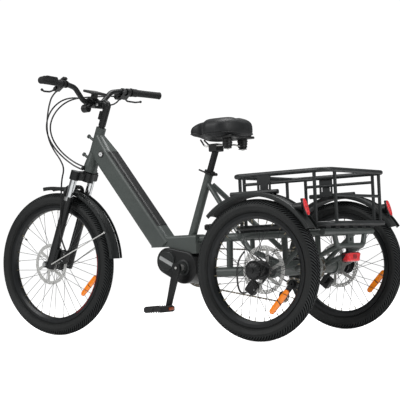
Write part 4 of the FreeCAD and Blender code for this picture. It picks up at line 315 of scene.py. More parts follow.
def paint(red, green, blue):
    """Display colour in the 0 to 255 range as the linear colour that shaders take."""
    levels = np.array([red, green, blue]) / 255
    linear = np.where(levels <= 0.04045, levels / 12.92, ((levels + 0.055) / 1.055) ** 2.4)
    return tuple(float(x) for x in linear) + (1.0,)


def shared(name, inputs, outputs):
    """Empty shader node group with its named inputs (label, kind, value) and outputs (label, kind)."""
    tree = bpy.data.node_groups.new(name, "ShaderNodeTree")
    for label, kind, value in inputs:
        socket = tree.interface.new_socket(label, in_out="INPUT", socket_type=kind)
        if value is not None:
            socket.default_value = value
    for label, kind in outputs:
        tree.interface.new_socket(label, in_out="OUTPUT", socket_type=kind)
    return tree, tree.nodes.new("NodeGroupInput"), tree.nodes.new("NodeGroupOutput")


def tone_drift_group():
    """Colour that wanders slowly between a dark and a light tone: two noises, one coarse and one fine."""
    tree, given, result = shared(
        "Tone drift",
        [("Place", "NodeSocketVector", None), ("Scale", "NodeSocketFloat", 6.0),
         ("Dark", "NodeSocketColor", None), ("Light", "NodeSocketColor", None)],
        [("Color", "NodeSocketColor")])
    coarse = tree.nodes.new("ShaderNodeTexNoise")
    coarse.inputs["Detail"].default_value = 4
    fine = tree.nodes.new("ShaderNodeTexNoise")
    fine.inputs["Scale"].default_value = 260
    fine.inputs["Detail"].default_value = 2
    both = tree.nodes.new("ShaderNodeMath")
    both.operation = "MULTIPLY_ADD"
    both.inputs[1].default_value = 0.25
    spread = tree.nodes.new("ShaderNodeMapRange")
    spread.inputs["From Min"].default_value = 0.42
    spread.inputs["From Max"].default_value = 0.84
    mix = tree.nodes.new("ShaderNodeMix")
    mix.data_type = "RGBA"
    link = tree.links.new
    link(given.outputs["Place"], coarse.inputs["Vector"])
    link(given.outputs["Scale"], coarse.inputs["Scale"])
    link(given.outputs["Place"], fine.inputs["Vector"])
    link(fine.outputs["Fac"], both.inputs[0])
    link(coarse.outputs["Fac"], both.inputs[2])
    link(both.outputs[0], spread.inputs["Value"])
    link(spread.outputs["Result"], mix.inputs["Factor"])
    link(given.outputs["Dark"], mix.inputs["A"])
    link(given.outputs["Light"], mix.inputs["B"])
    link(mix.outputs["Result"], result.inputs["Color"])
    return tree


def grain_group():
    """Height of a fine pebbled grain over a slower unevenness."""
    tree, given, result = shared(
        "Fine grain",
        [("Place", "NodeSocketVector", None), ("Scale", "NodeSocketFloat", 900.0)],
        [("Height", "NodeSocketFloat")])
    cells = tree.nodes.new("ShaderNodeTexVoronoi")
    cells.inputs["Randomness"].default_value = 0.9
    waves = tree.nodes.new("ShaderNodeTexNoise")
    waves.inputs["Scale"].default_value = 70
    waves.inputs["Detail"].default_value = 3
    both = tree.nodes.new("ShaderNodeMath")
    both.operation = "MULTIPLY_ADD"
    both.inputs[1].default_value = 0.6
    link = tree.links.new
    link(given.outputs["Place"], cells.inputs["Vector"])
    link(given.outputs["Scale"], cells.inputs["Scale"])
    link(given.outputs["Place"], waves.inputs["Vector"])
    link(cells.outputs["Distance"], both.inputs[0])
    link(waves.outputs["Fac"], both.inputs[2])
    link(both.outputs[0], result.inputs["Height"])
    return tree


def handling_group():
    """Mask of rubbed and dusty places: patches of noise crossed by thin streaks."""
    tree, given, result = shared(
        "Handling wear",
        [("Place", "NodeSocketVector", None), ("Scale", "NodeSocketFloat", 14.0)],
        [("Mask", "NodeSocketFloat")])
    patches = tree.nodes.new("ShaderNodeTexNoise")
    patches.inputs["Detail"].default_value = 6
    patches.inputs["Roughness"].default_value = 0.62
    streaks = tree.nodes.new("ShaderNodeTexWave")
    streaks.inputs["Scale"].default_value = 31
    streaks.inputs["Distortion"].default_value = 14
    streaks.inputs["Detail"].default_value = 3
    both = tree.nodes.new("ShaderNodeMath")
    both.operation = "MULTIPLY_ADD"
    both.inputs[1].default_value = 0.22
    spread = tree.nodes.new("ShaderNodeMapRange")
    spread.inputs["From Min"].default_value = 0.36
    spread.inputs["From Max"].default_value = 0.92
    link = tree.links.new
    link(given.outputs["Place"], patches.inputs["Vector"])
    link(given.outputs["Scale"], patches.inputs["Scale"])
    link(given.outputs["Place"], streaks.inputs["Vector"])
    link(streaks.outputs["Fac"], both.inputs[0])
    link(patches.outputs["Fac"], both.inputs[2])
    link(both.outputs[0], spread.inputs["Value"])
    link(spread.outputs["Result"], result.inputs["Mask"])
    return tree


TONE = tone_drift_group()
GRAIN = grain_group()
HANDLING = handling_group()


def placed(material, group, place, **values):
    """A shared group set into a material, fed with a place and its own values."""
    node = material.node_tree.nodes.new("ShaderNodeGroup")
    node.node_tree = group
    material.node_tree.links.new(place, node.inputs["Place"])
    for label, value in values.items():
        node.inputs[label].default_value = value
    return node


def finish(name, dark, light, rough, drift=6.0, wear=14.0, grain=900.0, bump=0.25, depth=0.1,
           metallic=0.0, coat=0.0, coat_rough=0.15, specular=0.5):
    """Material with a drifting tone, a roughness that changes where it is rubbed, and a fine raised grain."""
    material = bpy.data.materials.new(name)
    material.use_nodes = True
    nodes = material.node_tree.nodes
    link = material.node_tree.links.new
    shader = nodes["Principled BSDF"]
    place = nodes.new("ShaderNodeTexCoord").outputs["Object"]
    tone = placed(material, TONE, place, Scale=drift, Dark=dark, Light=light)
    link(tone.outputs["Color"], shader.inputs["Base Color"])
    rubbed = placed(material, HANDLING, place, Scale=wear)
    level = nodes.new("ShaderNodeMapRange")
    level.inputs["To Min"].default_value = rough[0]
    level.inputs["To Max"].default_value = rough[1]
    link(rubbed.outputs["Mask"], level.inputs["Value"])
    link(level.outputs["Result"], shader.inputs["Roughness"])
    raised = placed(material, GRAIN, place, Scale=grain)
    lift = nodes.new("ShaderNodeBump")
    lift.inputs["Strength"].default_value = bump
    lift.inputs["Distance"].default_value = depth * MM
    link(raised.outputs["Height"], lift.inputs["Height"])
    link(lift.outputs["Normal"], shader.inputs["Normal"])
    shader.inputs["Metallic"].default_value = metallic
    shader.inputs["Coat Weight"].default_value = coat
    shader.inputs["Coat Roughness"].default_value = coat_rough
    shader.inputs["Specular IOR Level"].default_value = specular
    return material


FRAME_PAINT = finish("frame_paint", paint(62, 68, 66), paint(74, 80, 77), (0.34, 0.5), drift=3.0,
                     grain=1400, bump=0.12, depth=0.05, coat=0.15, coat_rough=0.3)
BATTERY_SHELL = finish("battery_shell", paint(16, 17, 18), paint(25, 27, 28), (0.36, 0.5), drift=4.0,
                       grain=1500, bump=0.08, depth=0.03)
DARK_SHELL = finish("dark_shell", paint(27, 30, 30), paint(38, 41, 41), (0.4, 0.54), grain=1200, bump=0.1,
                    depth=0.04, specular=0.4)
BLACK_METAL = finish("black_metal", paint(11, 12, 13), paint(21, 23, 24), (0.32, 0.5), grain=1300, bump=0.2,
                     depth=0.06, metallic=0.15)
BASKET_COAT = finish("basket_coat", paint(22, 25, 26), paint(33, 37, 38), (0.38, 0.56), grain=1100, bump=0.3,
                     depth=0.08)
BLACK_PLASTIC = finish("black_plastic", paint(9, 10, 11), paint(18, 19, 20), (0.36, 0.56), grain=1200,
                       bump=0.35, depth=0.08)
TREAD_RUBBER = finish("tread_rubber", paint(38, 41, 42), paint(54, 57, 57), (0.58, 0.82), drift=9.0,
                      grain=800, bump=0.4, depth=0.12, specular=0.35)
FLANK_RUBBER = finish("flank_rubber", paint(18, 20, 20), paint(30, 32, 32), (0.52, 0.74), drift=7.0,
                      grain=1000, bump=0.3, depth=0.08, specular=0.35)
# Near-black rubber for the tread's groove floors and walls: painted shade in the grooves.
GROOVE_PAINTED_SHADE = finish("groove_painted_shade", paint(5, 5, 6), paint(11, 11, 12), (0.75, 0.9), grain=800, bump=0.1,
                       specular=0.15)
GRIP_RUBBER = finish("grip_rubber", paint(12, 13, 14), paint(24, 26, 27), (0.55, 0.78), grain=700, bump=0.5,
                     depth=0.12, specular=0.4)
RIM_BLACK = finish("rim_black", paint(16, 18, 19), paint(28, 31, 33), (0.28, 0.45), grain=1400, bump=0.1,
                   depth=0.04, metallic=0.3)
ALLOY = finish("silver_alloy", paint(170, 172, 172), paint(208, 210, 210), (0.26, 0.44), grain=1600,
               bump=0.15, depth=0.03, metallic=0.9)
STEEL = finish("steel", paint(186, 186, 184), paint(222, 222, 219), (0.3, 0.46), grain=1800, bump=0.2,
               depth=0.03, metallic=0.7)
SPOKE_STEEL = finish("spoke_steel", paint(66, 68, 69), paint(112, 114, 114), (0.24, 0.4), metallic=0.85,
                     bump=0.05, depth=0.02)
SPOKE_BLACK = finish("spoke_black", paint(34, 35, 36), paint(56, 57, 58), (0.3, 0.5), metallic=0.4,
                     bump=0.05, depth=0.02)
CHROME = finish("bright_chrome", paint(205, 208, 210), paint(228, 230, 231), (0.06, 0.16), metallic=1.0,
                bump=0.04, depth=0.02)
CHAIN_STEEL = finish("chain_steel", paint(116, 108, 96), paint(168, 160, 146), (0.32, 0.5), drift=60.0,
                     metallic=0.8, bump=0.1, depth=0.03)
BRASS = finish("nipple_brass", paint(120, 112, 92), paint(156, 146, 120), (0.3, 0.45), metallic=0.7,
               bump=0.05, depth=0.02)
CABLE_SKIN = finish("cable_skin", paint(8, 9, 10), paint(16, 17, 18), (0.3, 0.44), grain=2200, bump=0.1,
                    depth=0.02, coat=0.2)
LOCK_WHITE = finish("lock_ring", paint(206, 208, 208), paint(232, 233, 232), (0.28, 0.4), bump=0.05,
                    depth=0.02)
RED_LINE = finish("red_line", paint(176, 28, 34), paint(206, 48, 52), (0.34, 0.48), bump=0.05, depth=0.02)
SCREEN = finish("screen_glass", paint(10, 11, 13), paint(18, 20, 23), (0.05, 0.14), drift=20.0, bump=0.02,
                depth=0.01, coat=0.6, coat_rough=0.05)
SADDLE_COVER = finish("saddle_cover", paint(15, 17, 19), paint(25, 27, 29), (0.42, 0.58), drift=10.0,
                      grain=620, bump=0.5, depth=0.16, specular=0.45)


def prism(name, dark, light, painted_glow, size):
    """Moulded reflector: rows of small tilted facets drawn as light and dark cells, painted glints under a
    glossy skin; the cell colour also glows faintly, a painted glow.
    """
    material = finish(name, dark, light, (0.12, 0.22), drift=40.0, bump=0.05, depth=0.02, coat=0.8,
                      coat_rough=0.06)
    nodes = material.node_tree.nodes
    link = material.node_tree.links.new
    shader = nodes["Principled BSDF"]
    place = nodes["Texture Coordinate"].outputs["Object"]
    # Facet cells: light centres and dark edges are painted glints of the facets.
    cells = nodes.new("ShaderNodeTexVoronoi")
    cells.inputs["Scale"].default_value = size
    cells.inputs["Randomness"].default_value = 0.12
    link(place, cells.inputs["Vector"])
    spread = nodes.new("ShaderNodeMapRange")
    spread.inputs["From Max"].default_value = 0.7
    link(cells.outputs["Distance"], spread.inputs["Value"])
    mix = nodes.new("ShaderNodeMix")
    mix.data_type = "RGBA"
    mix.inputs["A"].default_value = light
    mix.inputs["B"].default_value = dark
    link(spread.outputs["Result"], mix.inputs["Factor"])
    link(mix.outputs["Result"], shader.inputs["Base Color"])
    # The cell colour is also given off as light: a painted glow.
    link(mix.outputs["Result"], shader.inputs["Emission Color"])
    shader.inputs["Emission Strength"].default_value = painted_glow
    return material


# The third number of each lens is its painted glow; the light and dark cells are painted facet glints.
RED_LENS = prism("red_lens", paint(176, 20, 28), paint(240, 52, 58), 0.25, 300)
DARK_RED = prism("dark_red", paint(120, 10, 18), paint(176, 26, 34), 0.05, 300)
AMBER_LENS = prism("amber_lens", paint(230, 108, 0), paint(252, 150, 14), 0.22, 260)
PEDAL_LENS = prism("pedal_lens", paint(150, 58, 14), paint(196, 84, 26), 0.05, 300)
CLEAR_LENS = prism("clear_lens", paint(150, 156, 160), paint(226, 230, 232), 0.05, 260)


def dress(node, materials, rule=None):
    """Gives a CAD node its finishes; rule maps face centres and normals (millimetres) to material numbers."""
    mesh = frame["nodes"][node].data
    mesh.materials.clear()
    for material in materials:
        mesh.materials.append(material)
    if rule:
        centres = np.zeros(len(mesh.polygons) * 3)
        normals = np.zeros(len(mesh.polygons) * 3)
        mesh.polygons.foreach_get("center", centres)
        mesh.polygons.foreach_get("normal", normals)
        marks = rule(centres.reshape(-1, 3) / MM, normals.reshape(-1, 3))
        mesh.polygons.foreach_set("material_index", np.asarray(marks, np.int32))
    mesh.update()


# ---------------------------------------------------------------- tyres and rims

def tyre(name, centre, radius, rim_radius, half_width, lugs, body):
    """Tyre with a herringbone tread. The outline across is two flank arcs and a crown arc; round the wheel
    the rows follow a shallow V, and every lug has four rows: groove floor, floor, block, block.
    Groove depth fades to nothing on the flanks, and two ring grooves run beside the centre. The groove
    floors and walls are coloured near black: painted shade in the grooves."""
    bead_y = 13.6
    shoulder = (radius - 9.0, half_width * 0.72)
    left = arc((rim_radius + 1.0, -bead_y), (radius - half_width, -half_width),
               (shoulder[0], -shoulder[1]), np.linspace(0, 1, 15)[:-1])
    spread = np.array([-1, -0.86, -0.7, -0.54, -0.5, -0.42, -0.38, -0.24, -0.1, -0.035])
    crown_s = np.concatenate([spread, [0], -spread[::-1]])
    crown = arc((shoulder[0], -shoulder[1]), (radius, 0), shoulder, (crown_s + 1) / 2)
    outside = np.concatenate([left, crown, left[::-1] * [1, -1]])
    flank_s = -1 - np.linspace(1, 0, 15)[:-1] * 1.6
    across = np.concatenate([flank_s, crown_s, -flank_s[::-1]])
    inner = np.array([(rim_radius - 8.0, bead_y), (rim_radius - 8.0, bead_y - 3.0),
                      (radius - 12.0, 0), (rim_radius - 8.0, 3.0 - bead_y), (rim_radius - 8.0, -bead_y)])
    outline = np.concatenate([outside, inner])
    across = np.concatenate([across, np.full(len(inner), 9.0)])
    size = np.abs(across)
    pitch = 2 * np.pi / lugs
    steps = np.array([0.0, 0.32, 0.42, 0.9])
    turn = (np.arange(lugs)[:, None] + steps[None, :]).ravel() * pitch
    floor = np.tile([1.0, 1.0, 0.0, 0.0], lugs)
    shear = np.where(size < 3, np.minimum(size, 1.5), 1.5) * 2.3 * pitch
    turn = turn[:, None] + shear[None, :]
    fade = (1 - smooth(1.12, 1.45, size)) * 3.2
    fade = np.where(size < 0.03, 0.7, fade)
    ring = 2.2 * ((size > 0.41) & (size < 0.51))
    drop = np.maximum(floor[:, None] * fade[None, :], ring[None, :])
    beads = 1.2 * (smooth(2.05, 2.12, size) * (1 - smooth(2.2, 2.28, size)) + smooth(1.62, 1.7, size)
                   * (1 - smooth(1.7, 1.82, size))) * (size < 5)
    way = np.gradient(outline, axis=0)
    out = np.stack([way[:, 1], -way[:, 0]], -1)
    out /= np.linalg.norm(out, axis=1)[:, None]
    moves = np.where(size > 5, 0, 1)[None, :, None]
    moved = outline[None] + out[None] * (beads[None, :] - drop)[..., None] * moves
    points = np.stack([moved[..., 0] * np.cos(turn), moved[..., 1], moved[..., 0] * np.sin(turn)], -1) * MM
    shape = Shape()
    shape.add(((points + centre).reshape(-1, 3), [grid(len(turn), len(outline), True, True)]))
    columns = np.arange(len(outline))
    flank = ((size > 1.45) | (np.roll(size, -1) > 1.45))[columns]
    # Groove floors and walls take the near-black groove rubber, painted shade in the grooves.
    low = np.tile([True, True, False, True], lugs)
    marks = np.where(flank[None, :], 1, np.where(low[:, None], 2, 0))
    shape.marks = [marks.ravel().astype(np.int32)]
    node = body.split("_")[0] + "_tyre"
    return shape.made(name, [TREAD_RUBBER, FLANK_RUBBER, GROOVE_PAINTED_SHADE], body, "tread_rubber", [node],
                      sharp=32)


def nipples(name, centre, rim_radius, body, slot):
    """Small tapered nuts that hold the spokes in the rim's inner edge."""
    shape = Shape()
    for i in range(36):
        side = 1 if i % 2 else -1
        lean = 1 if (i // 2) % 2 else -1
        angle = 2 * math.pi * (i + 0.5) / 36
        out = np.array([math.cos(angle), 0, math.sin(angle)])
        foot = centre + out * (rim_radius - 34.5) * MM + ACROSS * side * (5.4 + lean * 1.1) * MM
        head = centre + out * (rim_radius - 21.0) * MM + ACROSS * side * (4 + lean * 1.1) * MM
        length = np.linalg.norm(head - foot) / MM
        shape.add(spun(foot, head - foot, [(0, 1.2), (1, 1.6), (length - 4, 1.6), (length, 2.4)], 8))
    return shape.made(name, [BRASS], body, slot)


def rotor_form(centre, y, turn):
    """Brake disc: a slightly scalloped ring on six swept arms, drilled with two staggered rows of holes."""
    angle = np.linspace(0, 2 * np.pi, 192, endpoint=False)
    radius = 90.0 - 1.1 * (0.5 + 0.5 * np.cos(18 * angle))
    outlines = [np.stack([radius * np.cos(angle), radius * np.sin(angle)], -1), circle(17.0, 32)]
    sixth = math.pi / 3
    for i in range(6):
        outer = np.linspace(i * sixth + 0.16, (i + 1) * sixth - 0.02, 12)
        inner = np.linspace((i + 1) * sixth - 0.36, i * sixth + 0.02, 8)
        ring = [(74.5 * math.cos(a), 74.5 * math.sin(a)) for a in outer]
        ring += [(32.0 * math.cos(a), 32.0 * math.sin(a)) for a in inner]
        outlines.append(np.array(ring))
    for i in range(36):
        a = 2 * math.pi * i / 36
        outlines.append(circle(1.9, 8, 79.0 * math.cos(a), 79.0 * math.sin(a)))
        outlines.append(circle(2.1, 8, 84.6 * math.cos(a + 0.087), 84.6 * math.sin(a + 0.087)))
    return plate(outlines, 1.8, across_axle(np.asarray(centre) + ACROSS * y * MM, turn))


def front_hub():
    """Front hub: a waisted shell with two drilled flanges, its lock rings, and the disc with its bolts."""
    shape = Shape()
    shape.add(turned(FRONT_AXLE, [
        (5.3, -40.5), (11, -40.5), (11, -37), (21, -36.5), (22, -28), (29, -27.2), (29.4, -25), (29, -22.8),
        (20, -21), (17, -14), (16, 0), (17, 14), (20, 21), (29, 22.8), (29.4, 25), (29, 27.2), (16, 29),
        (14, 36), (11.5, 40.5), (5.3, 40.5)], 48))
    shape.add(rotor_form(FRONT_AXLE, -38.0, 0.2), 1)
    for i in range(6):
        a = 2 * math.pi * i / 6 + 0.35
        spot = FRONT_AXLE + np.array([math.cos(a), 0, math.sin(a)]) * 0.0225 - ACROSS * 0.0389
        shape.add(bolt(spot, -ACROSS, 2.8, 1.6), 2)
    for i in range(18):
        a = 2 * math.pi * i / 18
        for side in (-1, 1):
            spot = FRONT_AXLE + np.array([math.cos(a), 0, math.sin(a)]) * 0.0262 + ACROSS * side * 0.0271
            shape.add(spun(spot, ACROSS * side, [(0, 1.9), (0.8, 1.5), (1.0, 0.8)], 8), 2)
    return shape.made("front_hub_detail", [BLACK_METAL, STEEL, ALLOY], "front_wheel", "black_metal",
                      ["front_hub"])


def rear_hub(label, centre, side):
    """Rear hub: a fluted cap with a nut, a shell with two flanges, and the disc with its carrier bolts."""
    shape = Shape()

    def flutes(turn, radius):
        return -0.0034 * (radius > 0.0165) * (radius < 0.0325) * (0.5 + 0.5 * np.cos(14 * turn)) ** 2

    cap = [(0.02, 41), (7, 41), (8, 37.5), (13, 37.5), (16, 36.5), (24, 35.5), (30, 33), (32, 29.5),
           (32, 26.5), (0.02, 26.5)]
    shape.add(turned(centre, [(r, side * y) for r, y in cap], 108, flutes))
    body = [(0.02, 26.6), (30, 26.6), (36, 26.4), (36.4, 24), (36, 21.8), (27, 20), (26, 17), (26, -17),
            (27, -20), (36, -21.8), (36.4, -24), (36, -26.4), (25, -27.5), (24, -43.5), (10.2, -43.5),
            (0.02, -43.5)]
    shape.add(turned(centre, [(r, side * y) for r, y in body], 56))
    shaft_in = 287.0
    shape.add(turned(centre, [(0.02, -side * 43.0), (10, -side * 43.0), (10, -side * (shaft_in - 1)),
                              (9, -side * shaft_in), (0.02, -side * shaft_in)], 32), 2)
    shape.add(rotor_form(centre, -side * 45.0, 0.2), 1)
    for i in range(6):
        a = 2 * math.pi * i / 6 + 0.35
        spot = centre + np.array([math.cos(a), 0, math.sin(a)]) * 0.0225 - ACROSS * side * 0.0459
        shape.add(bolt(spot, -ACROSS * side, 2.8, 1.6), 2)
    shape.add(spun(centre + ACROSS * side * 0.0405, ACROSS * side, [(0, 6.2), (0.4, 6.2), (0.4, 3.2)], 6), 2)
    return shape.made(label + "_hub_detail", [BLACK_METAL, STEEL, ALLOY], label + "_wheel", "black_metal",
                      [label + "_hub"])


def bar_reflector(name, centre, start, end, body):
    """Long moulded reflector clipped between the spokes: a rounded bar with a rim, thinner at its ends."""
    start = centre + np.array([start[0], 0, start[1]]) * MM
    end = centre + np.array([end[0], 0, end[1]]) * MM
    t = np.linspace(0, 1, 28)
    path = start + (end - start) * t[:, None]
    width = 12.2 * MM * np.maximum(1 - np.abs(2 * t - 1) ** 22, 0.2) ** 0.6
    width = width * (1 - 0.16 * np.abs(2 * t - 1) ** 2)
    corner = np.linspace(0, 2 * np.pi, 20, endpoint=False)
    c, s = np.cos(corner), np.sin(corner)
    soft = np.stack([np.sign(c) * np.abs(c) ** 0.45, np.sign(s) * np.abs(s) ** 0.45], -1)
    section = soft[None] * np.stack([width, np.full(len(t), 3.6 * MM)], -1)[:, None]
    way = unit(end - start)
    shape = Shape()
    shape.add(swept(path, section, np.cross(way, ACROSS)))
    joint_path = start + (end - start) * np.array([0.485, 0.515])[:, None]
    shape.add(swept(joint_path, soft * np.array([12.4, 3.9]) * MM, np.cross(way, ACROSS)), 1)
    return shape.made(name, [AMBER_LENS, BLACK_PLASTIC], body, "lamp_red")


def valve(name, centre, rim_radius, angle, body):
    """Tyre valve: threaded stem with a plastic cap, pointing at the axle."""
    way = -np.array([math.cos(angle), 0, math.sin(angle)])
    start = centre - way * (rim_radius - 24.0) * MM
    ridges = [(i * 1.2, 2.6 + 0.35 * (i % 2)) for i in range(16)]
    shape = Shape().add(spun(start, way, ridges, 12), 0)
    shape.add(spun(start + way * 0.0185, way, [(0, 3.6), (9, 3.4), (11.5, 2.2)], 12), 1)
    return shape.made(name, [STEEL, BLACK_PLASTIC], body, "steel")


def rim_line(name, centre, rim_radius, first, last, body):
    """Thin red line laid round part of the rim's left face."""
    turn = np.linspace(math.radians(first), math.radians(last), 80)
    out = np.stack([np.cos(turn), 0 * turn, np.sin(turn)], -1)
    path = np.asarray(centre) + out * (rim_radius - 13.8) * MM - ACROSS * 17.15 * MM
    return Shape().add(swept(path, ring_outline(0.9 * MM, 8))).made(name, [RED_LINE], body, "lamp_red")


def build_wheels():
    """All three wheels: tyres, rims, spokes, hubs, valves and reflectors."""
    tyre("front_tyre_detail", FRONT_AXLE, 314.0, 259.5, 30.0, 148, "front_wheel")
    for label, centre, side in (("left", LEFT_AXLE, -1), ("right", RIGHT_AXLE, 1)):
        tyre(label + "_tyre_detail", centre, 260.0, 209.0, 28.0, 126, label + "_wheel")
        rear_hub(label, centre, side)
        nipples(label + "_nipples", centre, 209.0, label + "_wheel", "steel")
        valve(label + "_valve", centre, 209.0, math.radians(119.0), label + "_wheel")
        dress(label + "_rim", [RIM_BLACK])
        dress(label + "_spokes", [SPOKE_BLACK])
    front_hub()
    nipples("front_nipples", FRONT_AXLE, 259.5, "front_wheel", "steel")
    valve("front_valve", FRONT_AXLE, 259.5, math.radians(147.0), "front_wheel")
    dress("front_rim", [RIM_BLACK])
    dress("front_spokes", [SPOKE_STEEL])
    bar_reflector("front_bar_reflector", FRONT_AXLE, (138, -141), (225, -59), "front_wheel")
    bar_reflector("left_bar_reflector", LEFT_AXLE, (48, -158), (125, -77), "left_wheel")
    bar_reflector("right_bar_reflector", RIGHT_AXLE, (106, -112), (184, -30), "right_wheel")
    rim_line("front_rim_line", FRONT_AXLE, 259.5, -62.0, 8.0, "front_wheel")


# ---------------------------------------------------------------- drive

def tangent(a, ra, b, rb, side, crossed=False):
    """Ends of the straight run between two rings, on one side of them or crossing to the other side."""
    way = b - a
    base = math.atan2(way[2], way[0])
    length = math.hypot(way[0], way[2])
    if crossed:
        angle = base + side * math.acos((ra + rb) / length)
    else:
        angle = base + side * (math.pi / 2 - math.asin((ra - rb) / length))
    out = np.array([math.cos(angle), 0, math.sin(angle)])
    return a + out * ra, b + out * rb * (-1 if crossed else 1)


def around(centre, start, end):
    """Points round a ring, anticlockwise from a start point to an end point."""
    first = math.atan2(start[2] - centre[2], start[0] - centre[0])
    last = math.atan2(end[2] - centre[2], end[0] - centre[0])
    if last < first:
        last += 2 * math.pi
    turn = np.linspace(first, last, 40)
    radius = np.linalg.norm(start - centre)
    return centre + radius * np.stack([np.cos(turn), 0 * turn, np.sin(turn)], -1)


def chain_path():
    """The chain's middle line: cassette top to chainring, round it, down to the guide pulleys and back up."""
    ring = 12.7 * 38 / (2 * math.pi) * MM
    cog = 12.7 * 30 / (2 * math.pi) * MM
    guide = 23.9 * MM
    upper = REAR_AXLE + np.array([-86.0, 0, -66.0]) * MM
    lower = REAR_AXLE + np.array([-132.0, 0, -112.0]) * MM
    top_a, top_b = tangent(CRANK, ring, REAR_AXLE, cog, 1)
    low_a, low_b = tangent(CRANK, ring, lower, guide, -1)
    cross_a, cross_b = tangent(lower, guide, upper, guide, -1, True)
    back_a, back_b = tangent(upper, guide, REAR_AXLE, cog, 1, True)
    loops = [around(CRANK, top_a, low_a), around(lower, low_b, cross_a), around(upper, back_a, cross_b)[::-1],
             around(REAR_AXLE, back_b, top_b)]
    path = np.concatenate(loops + [top_a[None]])
    path[:, 1] = 62.0 * MM
    return path


def chain():
    """Roller chain: points one pitch apart round the path. Each gap gets a pair of waisted plates,
    alternately inner and outer, and each point a roller with its pin."""
    path = chain_path()
    steps = np.linalg.norm(np.diff(path, axis=0), axis=1)
    along = np.concatenate([[0], np.cumsum(steps)])
    count = int(round(along[-1] / (12.7 * MM) / 2)) * 2
    marks = np.linspace(0, along[-1], count, endpoint=False)
    spots = np.stack([np.interp(marks, along, path[:, i]) for i in range(3)], -1)
    after = np.roll(spots, -1, axis=0)
    half = np.linspace(0, np.pi, 5)
    end = np.stack([0.5 + 0.31 * np.sin(half), 0.34 * np.cos(half)], -1)
    outline = np.concatenate([end, [[0.0, -0.24]], -end, [[0.0, 0.24]]])
    shape = Shape()
    for i in range(count):
        way = after[i] - spots[i]
        length = np.linalg.norm(way)
        way /= length
        up = np.cross(ACROSS, way)
        centre = (spots[i] + after[i]) / 2
        offset = 2.0 if i % 2 else 2.9
        flat = centre + outline[:, :1] * way * length + outline[:, 1:] * up * 10.0 * MM
        for side in (-1, 1):
            near = flat + ACROSS * side * (offset - 0.4) * MM
            far = flat + ACROSS * side * (offset + 0.4) * MM
            shape.add(capped(np.stack([near, far])), i % 2)
        roller = spots[i] - ACROSS * 3.3 * MM
        shape.add(spun(roller, ACROSS,
                       [(0, 1.8), (1.6, 1.8), (1.6, 2.6), (5.0, 2.6), (5.0, 1.8), (6.6, 1.8)], 8))
    return shape.made("chain_links", [CHAIN_STEEL, STEEL], "frame", "steel", ["chain"])


def toothed(teeth, pitch_radius, low, high):
    """Outline of a toothed wheel: valleys at pitch radius less low, tips at pitch radius less high."""
    turn = np.linspace(0, 2 * np.pi, teeth * 8, endpoint=False)
    crest = smooth(-0.35, 0.55, np.cos(teeth * turn))
    radius = pitch_radius - low + (low - high) * crest
    return np.stack([radius * np.cos(turn), radius * np.sin(turn)], -1)


def crank_set():
    """Spindle, two tapered crank arms, the toothed chainring and its guard ring with five bolts.
    An arm is a rounded outline carried from the spindle to the pedal eye, narrowing as it goes."""
    shape = Shape()
    corner = np.linspace(0, 2 * np.pi, 20, endpoint=False)
    c, s = np.cos(corner), np.sin(corner)
    soft = np.stack([np.sign(c) * np.abs(c) ** 0.5, np.sign(s) * np.abs(s) ** 0.5], -1)
    for side in (-1, 1):
        eye = CRANK + np.array([math.sin(math.radians(17.4)), 0, math.cos(math.radians(17.4))]) * 0.17 * side
        mid = ACROSS * side * 91.0 * MM
        t = np.linspace(0, 1, 26)
        path = CRANK + mid + (eye - CRANK) * t[:, None]
        width = (18.0 - 4.2 * smooth(0.0, 0.9, t)) * MM
        deep = (7.0 - 0.8 * smooth(0.3, 0.9, t)) * MM
        section = soft[None] * np.stack([width, deep], -1)[:, None]
        shape.add(swept(path, section, np.cross(unit(eye - CRANK), ACROSS)))
        for spot, radius in ((CRANK, 20.0), (eye, 13.0)):
            foot = spot + ACROSS * side * 84.0 * MM
            shape.add(spun(foot, ACROSS * side,
                           [(0, radius - 1.2), (1, radius), (12.6, radius), (14, radius - 1.5)], 40))
        shape.add(spun(CRANK + ACROSS * side * 97.8 * MM, ACROSS * side,
                       [(0, 10.5), (1.6, 10), (1.6, 6.5), (0.4, 6.2)], 32))
        shape.add(spun(CRANK + ACROSS * side * 98.6 * MM, ACROSS * side, [(0, 6.0), (0.8, 5.4)], 6), 1)
        shape.add(spun(eye + ACROSS * side * 97.8 * MM, ACROSS * side, [(0, 5), (105.6, 5), (106.4, 4)], 24))
        shape.add(spun(eye + ACROSS * side * 98.0 * MM, ACROSS * side, [(0, 7.5), (3, 7.5), (4.2, 6)], 6), 1)
    shape.add(spun(CRANK - ACROSS * 90.0 * MM, ACROSS, [(0, 12), (180, 12)], 40), 1)
    ring = 12.7 * 38 / (2 * math.pi)
    arms = np.arange(5) * 2 * math.pi / 5
    holes = [circle(9.5, 24, 46 * math.cos(a), 46 * math.sin(a)) for a in arms + 0.3]
    shape.add(plate([toothed(38, ring, 7.2, 3.9), circle(12.0, 32)] + holes, 2.4,
                    across_axle(CRANK + ACROSS * 62.0 * MM)), 1)
    windows = []
    for a in arms:
        outer = np.linspace(a + 0.22, a + 1.04, 14)
        inner = np.linspace(a + 0.92, a + 0.34, 8)
        windows.append(np.concatenate([
            np.stack([58 * np.cos(outer), 58 * np.sin(outer)], -1),
            np.stack([36 * np.cos(inner), 36 * np.sin(inner)], -1)]))
    shape.add(plate([circle(ring + 8.0, 120), circle(12.0, 32)] + windows, 3.0,
                    across_axle(CRANK + ACROSS * 69.5 * MM)))
    for a in arms:
        spot = CRANK + np.array([math.cos(a), 0, math.sin(a)]) * 55.0 * MM
        shape.add(spun(spot + ACROSS * 63.0 * MM, ACROSS, [(0, 5), (6, 5)], 16), 1)
        shape.add(bolt(spot + ACROSS * 71.0 * MM, ACROSS, 4.5, 2.2), 1)
    shape.add(spun(CRANK + ACROSS * 58.0 * MM, ACROSS,
                   [(0, 26), (2, 30), (9, 30), (13, 27), (20, 22), (27, 20)], 48))
    return shape.made("crank_detail", [BLACK_METAL, STEEL], "crank", "black_metal", ["crank_set"])


